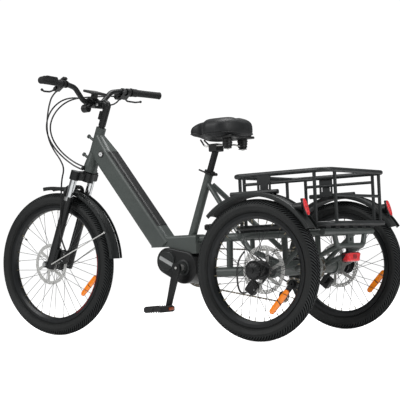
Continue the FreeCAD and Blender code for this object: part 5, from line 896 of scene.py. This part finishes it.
def cassette():
    """Four sprockets on a round carrier about the axle tube: three with teeth, the largest with six holes."""
    shape = Shape()
    for i, teeth in enumerate((30, 24, 20, 16)):
        pitch = 12.7 * teeth / (2 * math.pi)
        rim = toothed(teeth, pitch, 6.8, 3.9) if i < 3 else circle(32.5, 48)
        outlines = [rim, circle(29.5, 48)]
        if i == 0:
            outlines += [circle(5.5, 14, (pitch - 16) * math.cos(a), (pitch - 16) * math.sin(a))
                         for a in np.arange(6) * math.pi / 3]
        shape.add(plate(outlines, 2.0, across_axle(REAR_AXLE + ACROSS * (62.0 + 5 * i) * MM)), 0)
    carrier = [(29.5, 56.5), (31.8, 56.5), (32, 58), (32, 80), (31, 81.8), (29.5, 81.8)]
    shape.add(turned(REAR_AXLE, carrier, 60), 1)
    return shape.made("cassette_detail", [STEEL, BLACK_METAL], "sprockets", "steel", ["cassette"])


def pedal(label, side):
    """Platform pedal: a domed barrel, three cross webs, and two toothed rails with a reflector on each."""
    centre = np.array(joint(label + "_pedal_spin")["pos_m"])
    eye = np.array([centre[0], 0, centre[2]])
    shape = Shape()
    y0, y1 = 103.5, 200.5
    shape.add(spun(eye + ACROSS * side * y0 * MM, ACROSS * side,
                   [(0, 8), (1, 10), (30, 9.2), (60, 8.6), (92, 9.6), (95, 9), (97, 6)], 28))

    def rail_place(x):
        """Maps a rail's (along, up, through) to the pedal at a distance ahead of its barrel."""
        def place(p):
            return eye + np.stack([p[:, 2] + x * MM, side * p[:, 0], p[:, 1]], -1)
        return place

    y = np.linspace(y0, y1, 81)
    teeth = 9.0 + 3.6 * smooth(0.35, 0.55, np.abs((y - y0) / 10.8 % 1 - 0.5) * 2)
    ends = smooth(0, 5, y - y0) * smooth(0, 5, y1 - y)
    top = np.stack([y, teeth * (0.55 + 0.45 * ends)], -1)
    rail = np.concatenate([top, top[::-1] * [1, -1]])
    for x in (-36.5, 36.5):
        shape.add(plate([rail], 10.0, rail_place(x)))
        lens = eye + np.array([math.copysign(42.2, x) * MM, side * 128.0 * MM, 0])
        shape.add(rounded(lens, (1.9, 16.0, 6.0), 0.3), 1)
    for web in (y0 + 3.5, 148.0, y1 - 3.5):
        shape.add(rounded(eye + np.array([0, side * web * MM, 0]), (38.0, 3.6, 8.6), 0.18))
        for x in (-30.0, -18.0, -6.0, 6.0, 18.0, 30.0):
            foot = eye + np.array([x, side * web, -13.2]) * MM
            shape.add(spun(foot, [0, 0, 1], [(0, 1.8), (1, 2.4), (25.4, 2.4), (26.4, 1.8)], 10))
    return shape.made("pedal_%s_detail" % label, [BLACK_PLASTIC, PEDAL_LENS], label + "_pedal",
                      "black_plastic", ["pedal_" + label])


# ---------------------------------------------------------------- saddle

def saddle_station(u):
    """Half width, top and underside of the saddle at fractions from the nose to the back, in millimetres."""
    blend = smooth(0.18, 0.60, u)
    spread = 21.0 + 101.0 * blend
    nose = np.sqrt(np.maximum(1 - (1 - np.minimum(u / 0.10, 1)) ** 2, 0.02))
    back = np.sqrt(np.maximum(1 - np.maximum((u - 0.72) / 0.30, 0) ** 2, 0.02))
    rise = 868.0 - 12 * (1 - np.minimum(u / 0.45, 1)) - 16 * (1 - np.minimum(u / 0.22, 1)) ** 2
    rise = rise - 14 * np.maximum((u - 0.80) / 0.20, 0) ** 2
    blend = smooth(0.05, 0.45, u)
    low = 810.0 - 29.0 * blend + 8 * np.maximum((u - 0.7) / 0.3, 0) ** 2
    return spread * nose * back, rise, low


def saddle_form():
    """Skin of the saddle: squared ovals from nose to back, with a shallow channel along the middle of the top
    and a lower lip that turns in."""
    u = np.linspace(0, 1, 64)
    half, high, low = saddle_station(u)
    turn = np.linspace(0, 2 * np.pi, 56, endpoint=False)
    c, s = np.cos(turn)[None], np.sin(turn)[None]
    ends = np.minimum(np.sqrt(np.maximum(1 - (2 * u - 1) ** 16, 0)), 1)[:, None] * 0.9 + 0.1
    y = half[:, None] * np.sign(c) * np.abs(c) ** 0.68 * ends
    mid = ((high + low) / 2)[:, None]
    rise = ((high - low) / 2)[:, None] * ends
    z = mid + rise * np.sign(s) * np.abs(s) ** 0.68
    channel = (5.0 * np.exp(-(y / 13.0) ** 2) * smooth(0.25, 0.45, u)[:, None]
               * (1 - smooth(0.85, 0.98, u))[:, None])
    z = z - channel * (s > 0)
    x = np.broadcast_to((153.0 + 268.0 * u)[:, None], y.shape)
    points = np.stack([x, y, z], -1).reshape(-1, 3) * MM
    n = len(turn)
    last = (len(u) - 1) * n
    return points, [grid(len(u), n, False, True), np.arange(n)[None], np.arange(last, last + n)[None]]


def swell(piece, limit):
    """Fills a closed cover with air in a short cloth run without weight, and stops any point from moving
    farther than the limit."""
    before = np.zeros(len(piece.data.vertices) * 3)
    piece.data.vertices.foreach_get("co", before)
    cloth = piece.modifiers.new("Cloth", "CLOTH")
    cloth.settings.use_pressure = True
    cloth.settings.uniform_pressure_force = 4.0
    cloth.settings.quality = 6
    cloth.settings.mass = 0.4
    cloth.settings.tension_stiffness = 40
    cloth.settings.compression_stiffness = 40
    cloth.settings.bending_stiffness = 6
    cloth.settings.effector_weights.gravity = 0
    scene = bpy.context.scene
    for i in range(1, 17):
        scene.frame_set(i)
    moved = bpy.data.meshes.new_from_object(piece.evaluated_get(bpy.context.evaluated_depsgraph_get()))
    after = np.zeros(len(moved.vertices) * 3)
    moved.vertices.foreach_get("co", after)
    piece.modifiers.clear()
    scene.frame_set(1)
    step = (after - before).reshape(-1, 3)
    length = np.linalg.norm(step, axis=1)[:, None]
    step *= np.minimum(1, limit * MM / np.maximum(length, 1e-9))
    piece.data.vertices.foreach_set("co", (before.reshape(-1, 3) + step).ravel())
    piece.data.update()
    bpy.data.meshes.remove(moved)


def saddle():
    """Cushion swollen from its skin, with the piping round its lower edge."""
    shape = Shape().add(saddle_form())
    cushion = shape.made("saddle_pad", [SADDLE_COVER], None, "saddle_cover")
    remesh = cushion.modifiers.new("Remesh", "REMESH")
    remesh.mode = "VOXEL"
    remesh.voxel_size = 5 * MM
    remesh.use_smooth_shade = True
    smoothed = bpy.data.meshes.new_from_object(cushion.evaluated_get(bpy.context.evaluated_depsgraph_get()))
    cushion.modifiers.clear()
    cushion.data = smoothed
    cushion.data.materials.clear()
    cushion.data.materials.append(SADDLE_COVER)
    swell(cushion, 1.5)
    finer = cushion.modifiers.new("Subdivision", "SUBSURF")
    finer.levels = 1
    finer.render_levels = 1
    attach(cushion, "saddle")
    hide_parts("saddle_cushion")
    seams = Shape()
    u = np.linspace(0.03, 0.97, 70)
    half, high, low = saddle_station(u)
    edge = low + (high - low) * 0.24
    reach = half * 0.985 * np.minimum(np.sqrt(1 - (2 * u - 1) ** 16) * 0.9 + 0.1, 1)
    x = 153.0 + 268.0 * u
    right = np.stack([x, reach, edge], -1)
    ring = np.concatenate([right, right[::-1] * [1, -1, 1]])
    ring = np.concatenate([ring, ring[:1]]) * MM
    seams.add(swept(ring, ring_outline(1.7 * MM, 8)))
    return cushion, seams.made("saddle_piping", [BLACK_PLASTIC], "saddle", "saddle_cover")


# ---------------------------------------------------------------- cockpit

def bar_end_frame(side):
    """Last bend of a handlebar end, where distances along it start, and its three directions."""
    start = np.array([-348.4, side * 178.0, 1069.0]) * MM
    out = unit([0.2331, side * 0.9718, -0.0359])
    ahead = np.array([-math.cos(math.radians(35)), 0, -math.sin(math.radians(35))])
    ahead = unit(ahead - out * (out @ ahead))
    up = np.cross(out, ahead) * side
    return start, out, ahead, up


def grip(name, side, first):
    """Rubber grip: its radius changes along the bar with fine ribs, a waist and a flared end; the left one
    swells on the rider's side into a flat palm rest. One ring of points for each millimetre or so."""
    start, out, ahead, up = bar_end_frame(side)
    end = 223.3 + 5.0
    a = np.concatenate([[first, first], np.linspace(first + 0.6, end - 0.5, 190), [end, end]])[:, None]
    turn = np.linspace(0, 2 * np.pi, 72, endpoint=False)[None, :]
    collar = smooth(0, 3, a - first) * (1 - smooth(6, 8, a - first))
    flare = smooth(12, 0, end - a)
    ribs = ((0.45 if side > 0 else 0.2) * (0.5 + 0.5 * np.cos(2 * np.pi * a / 4.2))
            * smooth(9, 12, a - first) * (1 - smooth(10, 14, a - end + 24)))
    waist = 0.5 * np.sin(np.pi * (a - first) / (end - first))
    radius = 15.6 - waist + 0.8 * collar + 1.1 * flare + ribs + 0 * turn
    if side < 0:
        lobe = smooth(96, 128, a) * (1 - 0.35 * smooth(206, 226, a))
        toward = np.cos(turn - 1.5 * np.pi - 0.05)
        radius = radius - 1.6 * smooth(60, 90, a) + 15.0 * lobe * np.maximum(toward, 0) ** 14
    radius[0] = 11.6
    radius[-1] = 1.0
    radius[-2] *= 0.93
    c, s = np.cos(turn), np.sin(turn)
    points = (start + a[..., None] * MM * out + (radius * s)[..., None] * MM * ahead
              + (radius * c)[..., None] * MM * up)
    return Shape().add(capped(points)).made(name, [GRIP_RUBBER], "steering", "grip_rubber", sharp=55)


def cockpit():
    """Grips, screen glass, lamp glass, stem bolts and clamp bolts."""
    left = grip("left_grip", -1, 60.0)
    grip("right_grip", 1, 94.2)
    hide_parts("bar_grips")
    bar = np.array([-360.4, 0, 1005.0]) * MM
    tilt = math.radians(18.0)
    screen = bar + np.array([16.0, 0, 42.0]) * MM
    normal = np.array([math.sin(tilt), 0, math.cos(tilt)])
    shape = Shape()
    shape.add(rounded(screen + normal * 5.6 * MM, (29.0, 38.0, 0.9), 0.16, tilt), 0)
    shape.made("screen_glass", [SCREEN], "steering", "screen")
    lamp = bar + np.array([-38.0, 0, -20.0]) * MM
    face = lamp - np.array([18.0, 0, 0]) * MM
    shape = Shape()
    shape.add(spun(face, [-1, 0, 0], [(0, 13.4), (1.2, 13), (2.4, 10), (3, 5), (3.1, 0.5)], 40), 0)
    shape.add(spun(lamp - np.array([13.0, 0, 0]) * MM, [-1, 0, 0],
                   [(0, 17.2), (2.6, 17.0), (3.4, 16), (3.4, 14), (0, 13.6)], 40), 1)
    shape.made("headlight_glass", [CLEAR_LENS, CHROME], "steering", "bright_chrome")
    bolts = Shape()
    for y in (-15.0, 15.0):
        for lift in (17.0, -17.0):
            spot = bar + np.array([-14.5, y, lift * 0.9]) * MM
            bolts.add(bolt(spot, [-0.75, 0, math.copysign(0.66, lift)], 3.6, 3.4))
    knuckle = bar + np.array([45.0, 0, -14.0]) * MM
    for side in (-1, 1):
        bolts.add(bolt(knuckle + ACROSS * side * 24.8 * MM, ACROSS * side, 6.0, 3.0))
    bolts.made("stem_bolts", [ALLOY], "steering", "silver_alloy")


# ---------------------------------------------------------------- cables

def sheathed(points, radius):
    """Smooth cable: a NURBS curve through given points, read back as a line of points, and a round
    outline carried along it."""
    curve = bpy.data.curves.new("route", "CURVE")
    curve.dimensions = "3D"
    curve.resolution_u = 10
    spline = curve.splines.new("NURBS")
    spline.points.add(len(points) - 1)
    corners = np.ones((len(points), 4))
    corners[:, :3] = np.asarray(points)
    spline.points.foreach_set("co", corners.ravel())
    spline.order_u = 3
    spline.use_endpoint_u = True
    route = bpy.data.objects.new("route", curve)
    mesh = bpy.data.meshes.new_from_object(route)
    path = np.zeros(len(mesh.vertices) * 3)
    mesh.vertices.foreach_get("co", path)
    path = path.reshape(-1, 3)
    bpy.data.objects.remove(route)
    bpy.data.curves.remove(curve)
    bpy.data.meshes.remove(mesh)
    step = np.linalg.norm(np.diff(path, axis=0), axis=1)
    keep = np.concatenate([[True], step > 1e-6])
    return swept(path[keep], ring_outline(radius * MM, 14))


LEVER_CABLE = [
    (-382.1, 212.7, 1038.3), (-404, 217, 1022), (-436, 198, 1016), (-458, 160, 1022), (-470, 112, 1034),
    (-478, 62, 1043), (-492, 16, 1044), (-517, -18, 1033), (-541, -44, 1008), (-556, -64, 974),
    (-563, -76, 936), (-567, -74, 896), (-560, -62, 854), (-537, -52, 814), (-503, -45, 778),
    (-464, -41, 748), (-430, -38, 728), (-403, -33, 716)]
SHIFTER_CABLE = [
    (-372.3, 172, 1048.5), (-378, 150, 1049), (-394, 120, 1047), (-420, 88, 1045), (-448, 52, 1043),
    (-476, 14, 1037), (-504, -16, 1020), (-528, -40, 992), (-543, -58, 958), (-551, -67, 922),
    (-552, -64, 886), (-543, -55, 848), (-521, -45, 812), (-490, -38, 781), (-455, -34, 756),
    (-424, -32, 739), (-397, -31, 729)]
FRONT_HOSE = [
    (-382.1, -212.7, 1038.3), (-404, -214, 1022), (-437, -192, 1000), (-478, -158, 974), (-518, -122, 942),
    (-543, -98, 900), (-543, -88, 854), (-520, -84, 808), (-484, -85, 765)]
FRONT_HOSE_ON_LEG = [
    (-68, -88, 432), (-64, -91, 384), (-48, -91, 332), (-32, -88, 276), (-20, -86, 220), (-4, -83, 168),
    (12, -71, 124), (24, -46, 87.5)]
REAR_HOSE = [
    (405, 24, 330), (409, 70, 308), (429, 118, 262), (459, 166, 212), (499, 214, 180), (539, 248, 172),
    (573, 262, 182)]


def cables():
    """The two cables from the right of the bar, the front hose and the two rear hoses, with end sleeves."""
    bundle = Shape()
    for points in (LEVER_CABLE, SHIFTER_CABLE):
        points = np.array(points) * MM
        bundle.add(sheathed(points, 3.5))
    piece = bundle.made("bar_cables", [CABLE_SKIN], None, "black_plastic")
    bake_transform(piece)
    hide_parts("cable_bundle")
    points = np.concatenate([np.array(FRONT_HOSE) * MM, [steering_point(*p) for p in FRONT_HOSE_ON_LEG]])
    piece = Shape().add(sheathed(points, 3.5)).made("front_hose_skin", [CABLE_SKIN], None, "black_plastic")
    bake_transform(piece)
    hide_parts("front_hose")
    hoses = Shape()
    for side in (-1, 1):
        points = np.array([(x, side * y, z) for x, y, z in REAR_HOSE]) * MM
        hoses.add(sheathed(points, 3.5))
        way = points[0] - points[1]
        hoses.add(spun(points[1] + way * 0.55, way, [(0, 3.4), (10, 3.4), (12, 3.0)], 12), 1)
        way = points[-1] - points[-2]
        hoses.add(spun(points[-1] - unit(way) * 14 * MM, way, [(0, 3.0), (1, 3.6), (13, 3.6)], 12), 1)
    hoses.made("rear_hose_skins", [CABLE_SKIN, ALLOY], "frame", "black_plastic", ["rear_hoses"])


# ---------------------------------------------------------------- lamps and small parts

def lamps():
    """Red lenses: one obround on each fender cone and the ribbed tail lamp under the bumper."""
    shape = Shape()
    lean = math.radians(16.0)
    for side in (-1, 1):
        centre = np.array([868.0 - 4.5 + 9.2, side * 327.0, 478.0]) * MM
        pivot = np.array([868.0, side * 327.0, 478.0]) * MM
        turn = np.linspace(0, 2 * np.pi, 48, endpoint=False)
        c, s = np.cos(turn), np.sin(turn)
        across = 12.6 * np.sign(c) * np.abs(c) ** 0.7
        along = 31.4 * np.sign(s) * np.abs(s) ** 0.8
        rows = []
        for scale, lift in ((1.0, -1.2), (1.0, 1.2), (0.95, 2.2), (0.84, 2.7), (0.5, 3.0), (0.02, 3.1)):
            rows.append(np.stack([np.full(len(turn), lift), across * scale, along * scale], -1))
        local = np.array(rows) * MM
        local[..., 0] += centre[0] - pivot[0]
        x = local[..., 0] * math.cos(lean) - local[..., 2] * math.sin(lean)
        z = local[..., 0] * math.sin(lean) + local[..., 2] * math.cos(lean)
        points = np.stack([x, local[..., 1], z], -1) + pivot
        shape.add(capped(points))
        stripe = np.array([[0.0, -10.4, 0.0], [0.0, 10.4, 0.0]]) * MM
        stripe[:, 0] = (centre[0] - pivot[0]) + 3.0 * MM
        shape.add(swept(stripe + pivot, ring_outline(1.1 * MM, 8)), 1)
    tail = np.array([868.0, 0.0, 292.0]) * MM
    form, blocks = rounded(tail + np.array([7.6 * MM, 0, 0]), (7.5, 46.5, 16.0), 0.22)
    form[:, 1] *= 1 - 0.26 * np.clip((tail[2] - form[:, 2]) / (16 * MM), -0.2, 1)
    shape.add((form, blocks))
    shape.add(rounded(tail + np.array([15.2 * MM, 0, 1.5 * MM]), (0.8, 15.0, 9.0), 0.3), 1)
    return shape.made("red_lenses", [RED_LENS, DARK_RED], "frame", "lamp_red")


def small_parts():
    """Bolt heads on the calipers and the sleeve where the cables enter the frame."""
    shape = Shape()
    entry = np.array([-400.0, -32.0, 722.0]) * MM
    sleeve = [(0, 7.5), (2, 9), (7, 9), (10, 7)]
    shape.add(spun(entry + np.array([-6.0, -1.0, 4.0]) * MM, [0.86, 0.1, -0.5], sleeve, 24), 1)
    for side in (-1, 1):
        for degrees in (215.0, 245.0):
            a = math.radians(degrees)
            spot = REAR_AXLE + np.array([math.cos(a) * 80.0, side * 302.2, math.sin(a) * 80.0]) * MM
            shape.add(bolt(spot - ACROSS * side * 0.4 * MM, ACROSS * side, 3.4, 2.6), 0)
    shape.made("frame_fasteners", [ALLOY, BLACK_PLASTIC], "frame", "silver_alloy")
    shape = Shape()
    for up in (42.0, 74.0):
        spot = steering_point(30.0, -57.8, up)
        shape.add(bolt(spot, -ACROSS, 3.6, 3.0))
    shape.add(rounded(steering_point(24.0, -58.2, 58.0), (11.0, 1.2, 9.0), 0.5, LEAN), 1)
    shape.made("caliper_bolts", [ALLOY, BLACK_METAL], "fork_lower", "silver_alloy")


def saddle_springs():
    """Two ribbed rubber springs under the back of the saddle: a cone whose radius waves four times."""
    shape = Shape()
    rise = np.linspace(0, 1, 65)
    wave = 14.5 + 5.0 * rise + 3.2 * smooth(0.15, 0.5, 0.5 + 0.5 * np.cos(2 * np.pi * 4 * (rise + 0.02)))
    profile = np.stack([rise * 44.0, wave], -1)
    for side in (-1, 1):
        shape.add(spun(np.array([368.5, side * 55.0, 742.6]) * MM, [0, 0, 1], profile, 40))
        foot = np.array([368.5, side * 55.0, 738.4]) * MM
        shape.add(spun(foot, [0, 0, 1], [(0, 5), (2.6, 9), (4.4, 9)], 6), 1)
    return shape.made("saddle_springs", [BLACK_PLASTIC, STEEL], "saddle", "black_plastic")


def fender_lips():
    """Rolled edges of the three fenders: a thin outline carried along each side's arc."""
    shape = Shape()
    lip = np.array([(-1.1, 1.5), (1.1, 1.5), (1.5, -2.0), (1.3, -10.0), (-1.1, -10.0)]) * MM

    def run(centre, radius, half, first, last):
        """Adds both lips of a fender from its arc's radius, half width and first and last angles."""
        turn = np.linspace(math.radians(first), math.radians(last), 90)
        out = np.stack([np.cos(turn), 0 * turn, np.sin(turn)], -1)
        for side in (-1, 1):
            path = centre + out * radius * MM + ACROSS * side * half * MM
            section = np.broadcast_to(lip * [side, 1], (len(path),) + lip.shape)
            points = path[:, None] + section[..., :1] * ACROSS + section[..., 1:] * out[:, None]
            shape.add(capped(points))

    for centre in (LEFT_AXLE, RIGHT_AXLE):
        run(centre, 282.0, 35.6, 31.2, 132.8)
    shape.made("rear_fender_lips", [DARK_SHELL], "frame", "dark_shell")
    shape = Shape()
    run(FRONT_AXLE, 340.0, 34.6, 2.2, 95.8)
    shape.made("front_fender_lips", [DARK_SHELL], "fork_lower", "dark_shell")


def motor_rings():
    """Raised rings on the motor's left side: round its cover and round the spindle's seal."""
    shape = Shape()
    front = np.array([0.042, 0.0, 0.306])
    for r0, r1, y0, y1 in ((41.0, 44.5, -47.6, -50.6), (30.0, 31.6, -55.8, -56.8)):
        shape.add(turned(front, [(r0, y0), (r1, y0), (r1, y1 + 0.8), (r1 - 0.8, y1), (r0, y1)], 72), 0)
    seal = [(23.0, -47.6), (33.0, -47.6), (33.0, -50.0), (31.0, -51.6), (23.0, -51.6)]
    shape.add(turned(CRANK, seal, 64), 0)
    for degrees in (100.0, 160.0, 215.0):
        a = math.radians(degrees)
        spot = front + np.array([math.cos(a) * 48.5, -48.0, math.sin(a) * 48.5]) * MM
        shape.add(bolt(spot, -ACROSS, 3.2, 2.0), 1)
    return shape.made("motor_rings", [DARK_SHELL, BLACK_METAL], "frame", "black_metal")


def lock_ring():
    """Dark collar round the battery lock and the slot for its key."""
    lock = np.array(joint("battery_lock_turn")["pos_m"])
    centre = np.array([lock[0], 0.0, lock[2]])
    ring = [(9.8, -40.2), (14.5, -40.2), (14.5, -41.4), (13.2, -42.4), (9.8, -42.4)]
    Shape().add(turned(centre, ring, 48)).made("lock_collar", [BLACK_PLASTIC], "frame", "black_plastic")
    slot = rounded(centre - ACROSS * 44.5 * MM, (1.1, 0.5, 3.6), 0.4)
    Shape().add(slot).made("key_slot", [BLACK_PLASTIC], "lock_barrel", "black_plastic")


def dress_frame():
    """Finishes of every CAD node that shows."""
    def by(test):
        """Second finish where the test of a face's centre and normal holds."""
        return lambda c, n: np.where(test(c, n), 1, 0)

    dress("head_tube", [FRAME_PAINT])
    dress("down_tube", [FRAME_PAINT])
    collar_foot = np.array([242.0, 0, 664.0]) - np.array([0.3665, 0, 0.9304]) * 15.0
    dress("seat_tube", [FRAME_PAINT, BLACK_METAL],
          by(lambda c, n: (c - collar_foot) @ np.array([0.3665, 0, 0.9304]) > 0))
    dress("seat_stays", [FRAME_PAINT])
    dress("spine_tubes", [FRAME_PAINT])
    dress("rear_deck", [FRAME_PAINT, BASKET_COAT], by(lambda c, n: c[:, 2] > 401.2))
    dress("axle_housing", [FRAME_PAINT])
    dress("rear_bumper", [FRAME_PAINT])
    dress("battery", [BATTERY_SHELL])
    dress("battery_lock", [LOCK_WHITE])
    dress("collar_lever", [BLACK_METAL])
    dress("basket_rim", [BASKET_COAT])
    dress("basket_floor", [BASKET_COAT])
    dress("basket_posts", [BASKET_COAT])
    dress("rear_fenders", [DARK_SHELL, BASKET_COAT],
          by(lambda c, n: (np.abs(c[:, 1]) < 305.5) & (np.hypot(c[:, 0] - 655, c[:, 2] - 260) < 290)
             & (c[:, 2] > 500) & (np.abs(c[:, 0] - 635) < 106)))
    dress("rear_calipers", [BLACK_METAL])
    dress("derailleur_body", [BLACK_METAL])
    dress("derailleur_cage", [BLACK_METAL])
    front = np.array([42.0, 0, 306.0])

    def motor_rule(c, n):
        """Grip rubber, alloy or dark shell by how far a face stands out and its distance from the cover."""
        radius = np.hypot(c[:, 0] - front[0], c[:, 2] - front[2])
        marks = np.where((c[:, 1] < -48.3) & (radius > 41), 1, 0)
        marks = np.where((c[:, 1] < -56.1) & (radius < 37), 2, marks)
        marks = np.where((c[:, 1] < -49.6) & (radius > 41), 3, marks)
        return np.where((c[:, 1] < -48.2) & (radius <= 41) & (marks == 0), 3, marks)

    dress("motor", [BLACK_METAL, GRIP_RUBBER, ALLOY, DARK_SHELL], motor_rule)
    dress("seat_post", [BLACK_METAL])
    dress("saddle_frame", [BLACK_PLASTIC, STEEL], by(lambda c, n: (c[:, 2] < 766.5) & (np.hypot(
        c[:, 0] - 368.5, np.abs(c[:, 1]) - 55) > 21.5)))
    dress("fork_lowers", [BLACK_METAL, ALLOY], by(lambda c, n: (np.abs(c[:, 1]) > 79.2)))
    dress("front_caliper", [BLACK_METAL])
    dress("front_fender", [DARK_SHELL, STEEL], by(lambda c, n: np.abs(c[:, 1]) > 35.6))
    dress("fork_crown", [BLACK_METAL])
    dress("stanchions", [CHROME])
    dress("lockout_knob", [BLACK_PLASTIC])
    dress("stem", [BLACK_METAL])
    dress("handlebar", [BLACK_METAL])
    dress("display", [BLACK_PLASTIC])
    dress("headlight", [BLACK_PLASTIC])
    dress("bar_controls", [BLACK_PLASTIC])
    dress("brake_lever_left", [BLACK_METAL])
    dress("brake_lever_right", [BLACK_METAL])
    dress("throttle_grip", [GRIP_RUBBER])
    dress("shift_lever", [BLACK_PLASTIC])
    dress("pad_buttons", [LOCK_WHITE])

    def lamp_rule(c, n):
        """Red for the tail lamp under the bumper, black for the cones."""
        tail = (np.abs(c[:, 1]) < 60) & (c[:, 0] > 866.5) & (c[:, 2] < 306)
        return np.where(tail, 1, 0)

    dress("rear_lamps", [BLACK_PLASTIC, RED_LENS], lamp_rule)


# ---------------------------------------------------------------- studio

def aimed(thing, place, target, roll=0.0):
    """Turns a camera or lamp at a place so that it looks at a target, rolled by an angle."""
    thing.location = place
    look = (Vector(target) - Vector(place)).to_track_quat("-Z", "Y")
    thing.rotation_mode = "QUATERNION"
    turn = look @ Quaternion((0, 0, 1), roll)
    thing.rotation_quaternion = turn
    return thing


def studio():
    """Camera, floor, world and three large soft lamps."""
    scene = bpy.context.scene
    lens = bpy.data.cameras.new("camera")
    lens.lens = 113.2
    lens.sensor_width = 36.0
    lens.clip_end = 100.0
    camera = bpy.data.objects.new("camera", lens)
    scene.collection.objects.link(camera)
    aimed(camera, (3.1202, -4.2032, 0.3172), (0.1856, 0.0, 0.5490), math.radians(-2.493))
    scene.camera = camera
    mesh = bpy.data.meshes.new("floor")
    reach = 60.0
    mesh.from_pydata([(-reach, -reach, -0.0005), (reach, -reach, -0.0005), (reach, reach, -0.0005),
                      (-reach, reach, -0.0005)], [], [(0, 1, 2, 3)])
    floor = bpy.data.objects.new("floor", mesh)
    scene.collection.objects.link(floor)
    white = finish("floor_white", paint(236, 236, 236), paint(240, 240, 240), (0.7, 0.9), drift=1.0, bump=0.0,
                   depth=0.01, specular=0.1)
    nodes = white.node_tree.nodes
    seen = nodes.new("ShaderNodeLightPath")
    shader = nodes["Principled BSDF"]
    white.node_tree.links.new(seen.outputs["Is Camera Ray"], shader.inputs["Emission Strength"])
    shader.inputs["Emission Color"].default_value = (0.86, 0.86, 0.86, 1.0)
    mesh.materials.append(white)
    world = bpy.data.worlds.new("studio_world")
    scene.world = world
    world.use_nodes = True
    tree = world.node_tree
    room = tree.nodes["Background"]
    room.inputs["Color"].default_value = (1.0, 1.0, 1.0, 1.0)
    room.inputs["Strength"].default_value = 0.2
    backdrop = tree.nodes.new("ShaderNodeBackground")
    backdrop.inputs["Color"].default_value = (1.0, 1.0, 1.0, 1.0)
    backdrop.inputs["Strength"].default_value = 1.05
    choice = tree.nodes.new("ShaderNodeMixShader")
    ray = tree.nodes.new("ShaderNodeLightPath")
    tree.links.new(ray.outputs["Is Camera Ray"], choice.inputs["Fac"])
    tree.links.new(room.outputs[0], choice.inputs[1])
    tree.links.new(backdrop.outputs[0], choice.inputs[2])
    tree.links.new(choice.outputs[0], tree.nodes["World Output"].inputs["Surface"])
    for name, place, size, power in (("key", (-1.8, -4.0, 3.6), 2.4, 150.0),
                                     ("top", (0.6, 0.8, 4.4), 2.6, 150.0),
                                     ("rear", (4.4, -0.6, 2.2), 2.0, 70.0)):
        lamp = bpy.data.lights.new(name, "AREA")
        lamp.energy = power
        lamp.size = size
        thing = bpy.data.objects.new(name, lamp)
        scene.collection.objects.link(thing)
        aimed(thing, place, (0.1, 0, 0.4))
    scene.view_settings.view_transform = "Standard"


# ---------------------------------------------------------------- the tricycle

dress_frame()
build_wheels()
chain()
crank_set()
cassette()
pedal("left", -1)
pedal("right", 1)
saddle()
cockpit()
cables()
lamps()
small_parts()
saddle_springs()
fender_lips()
motor_rings()
lock_ring()
studio()
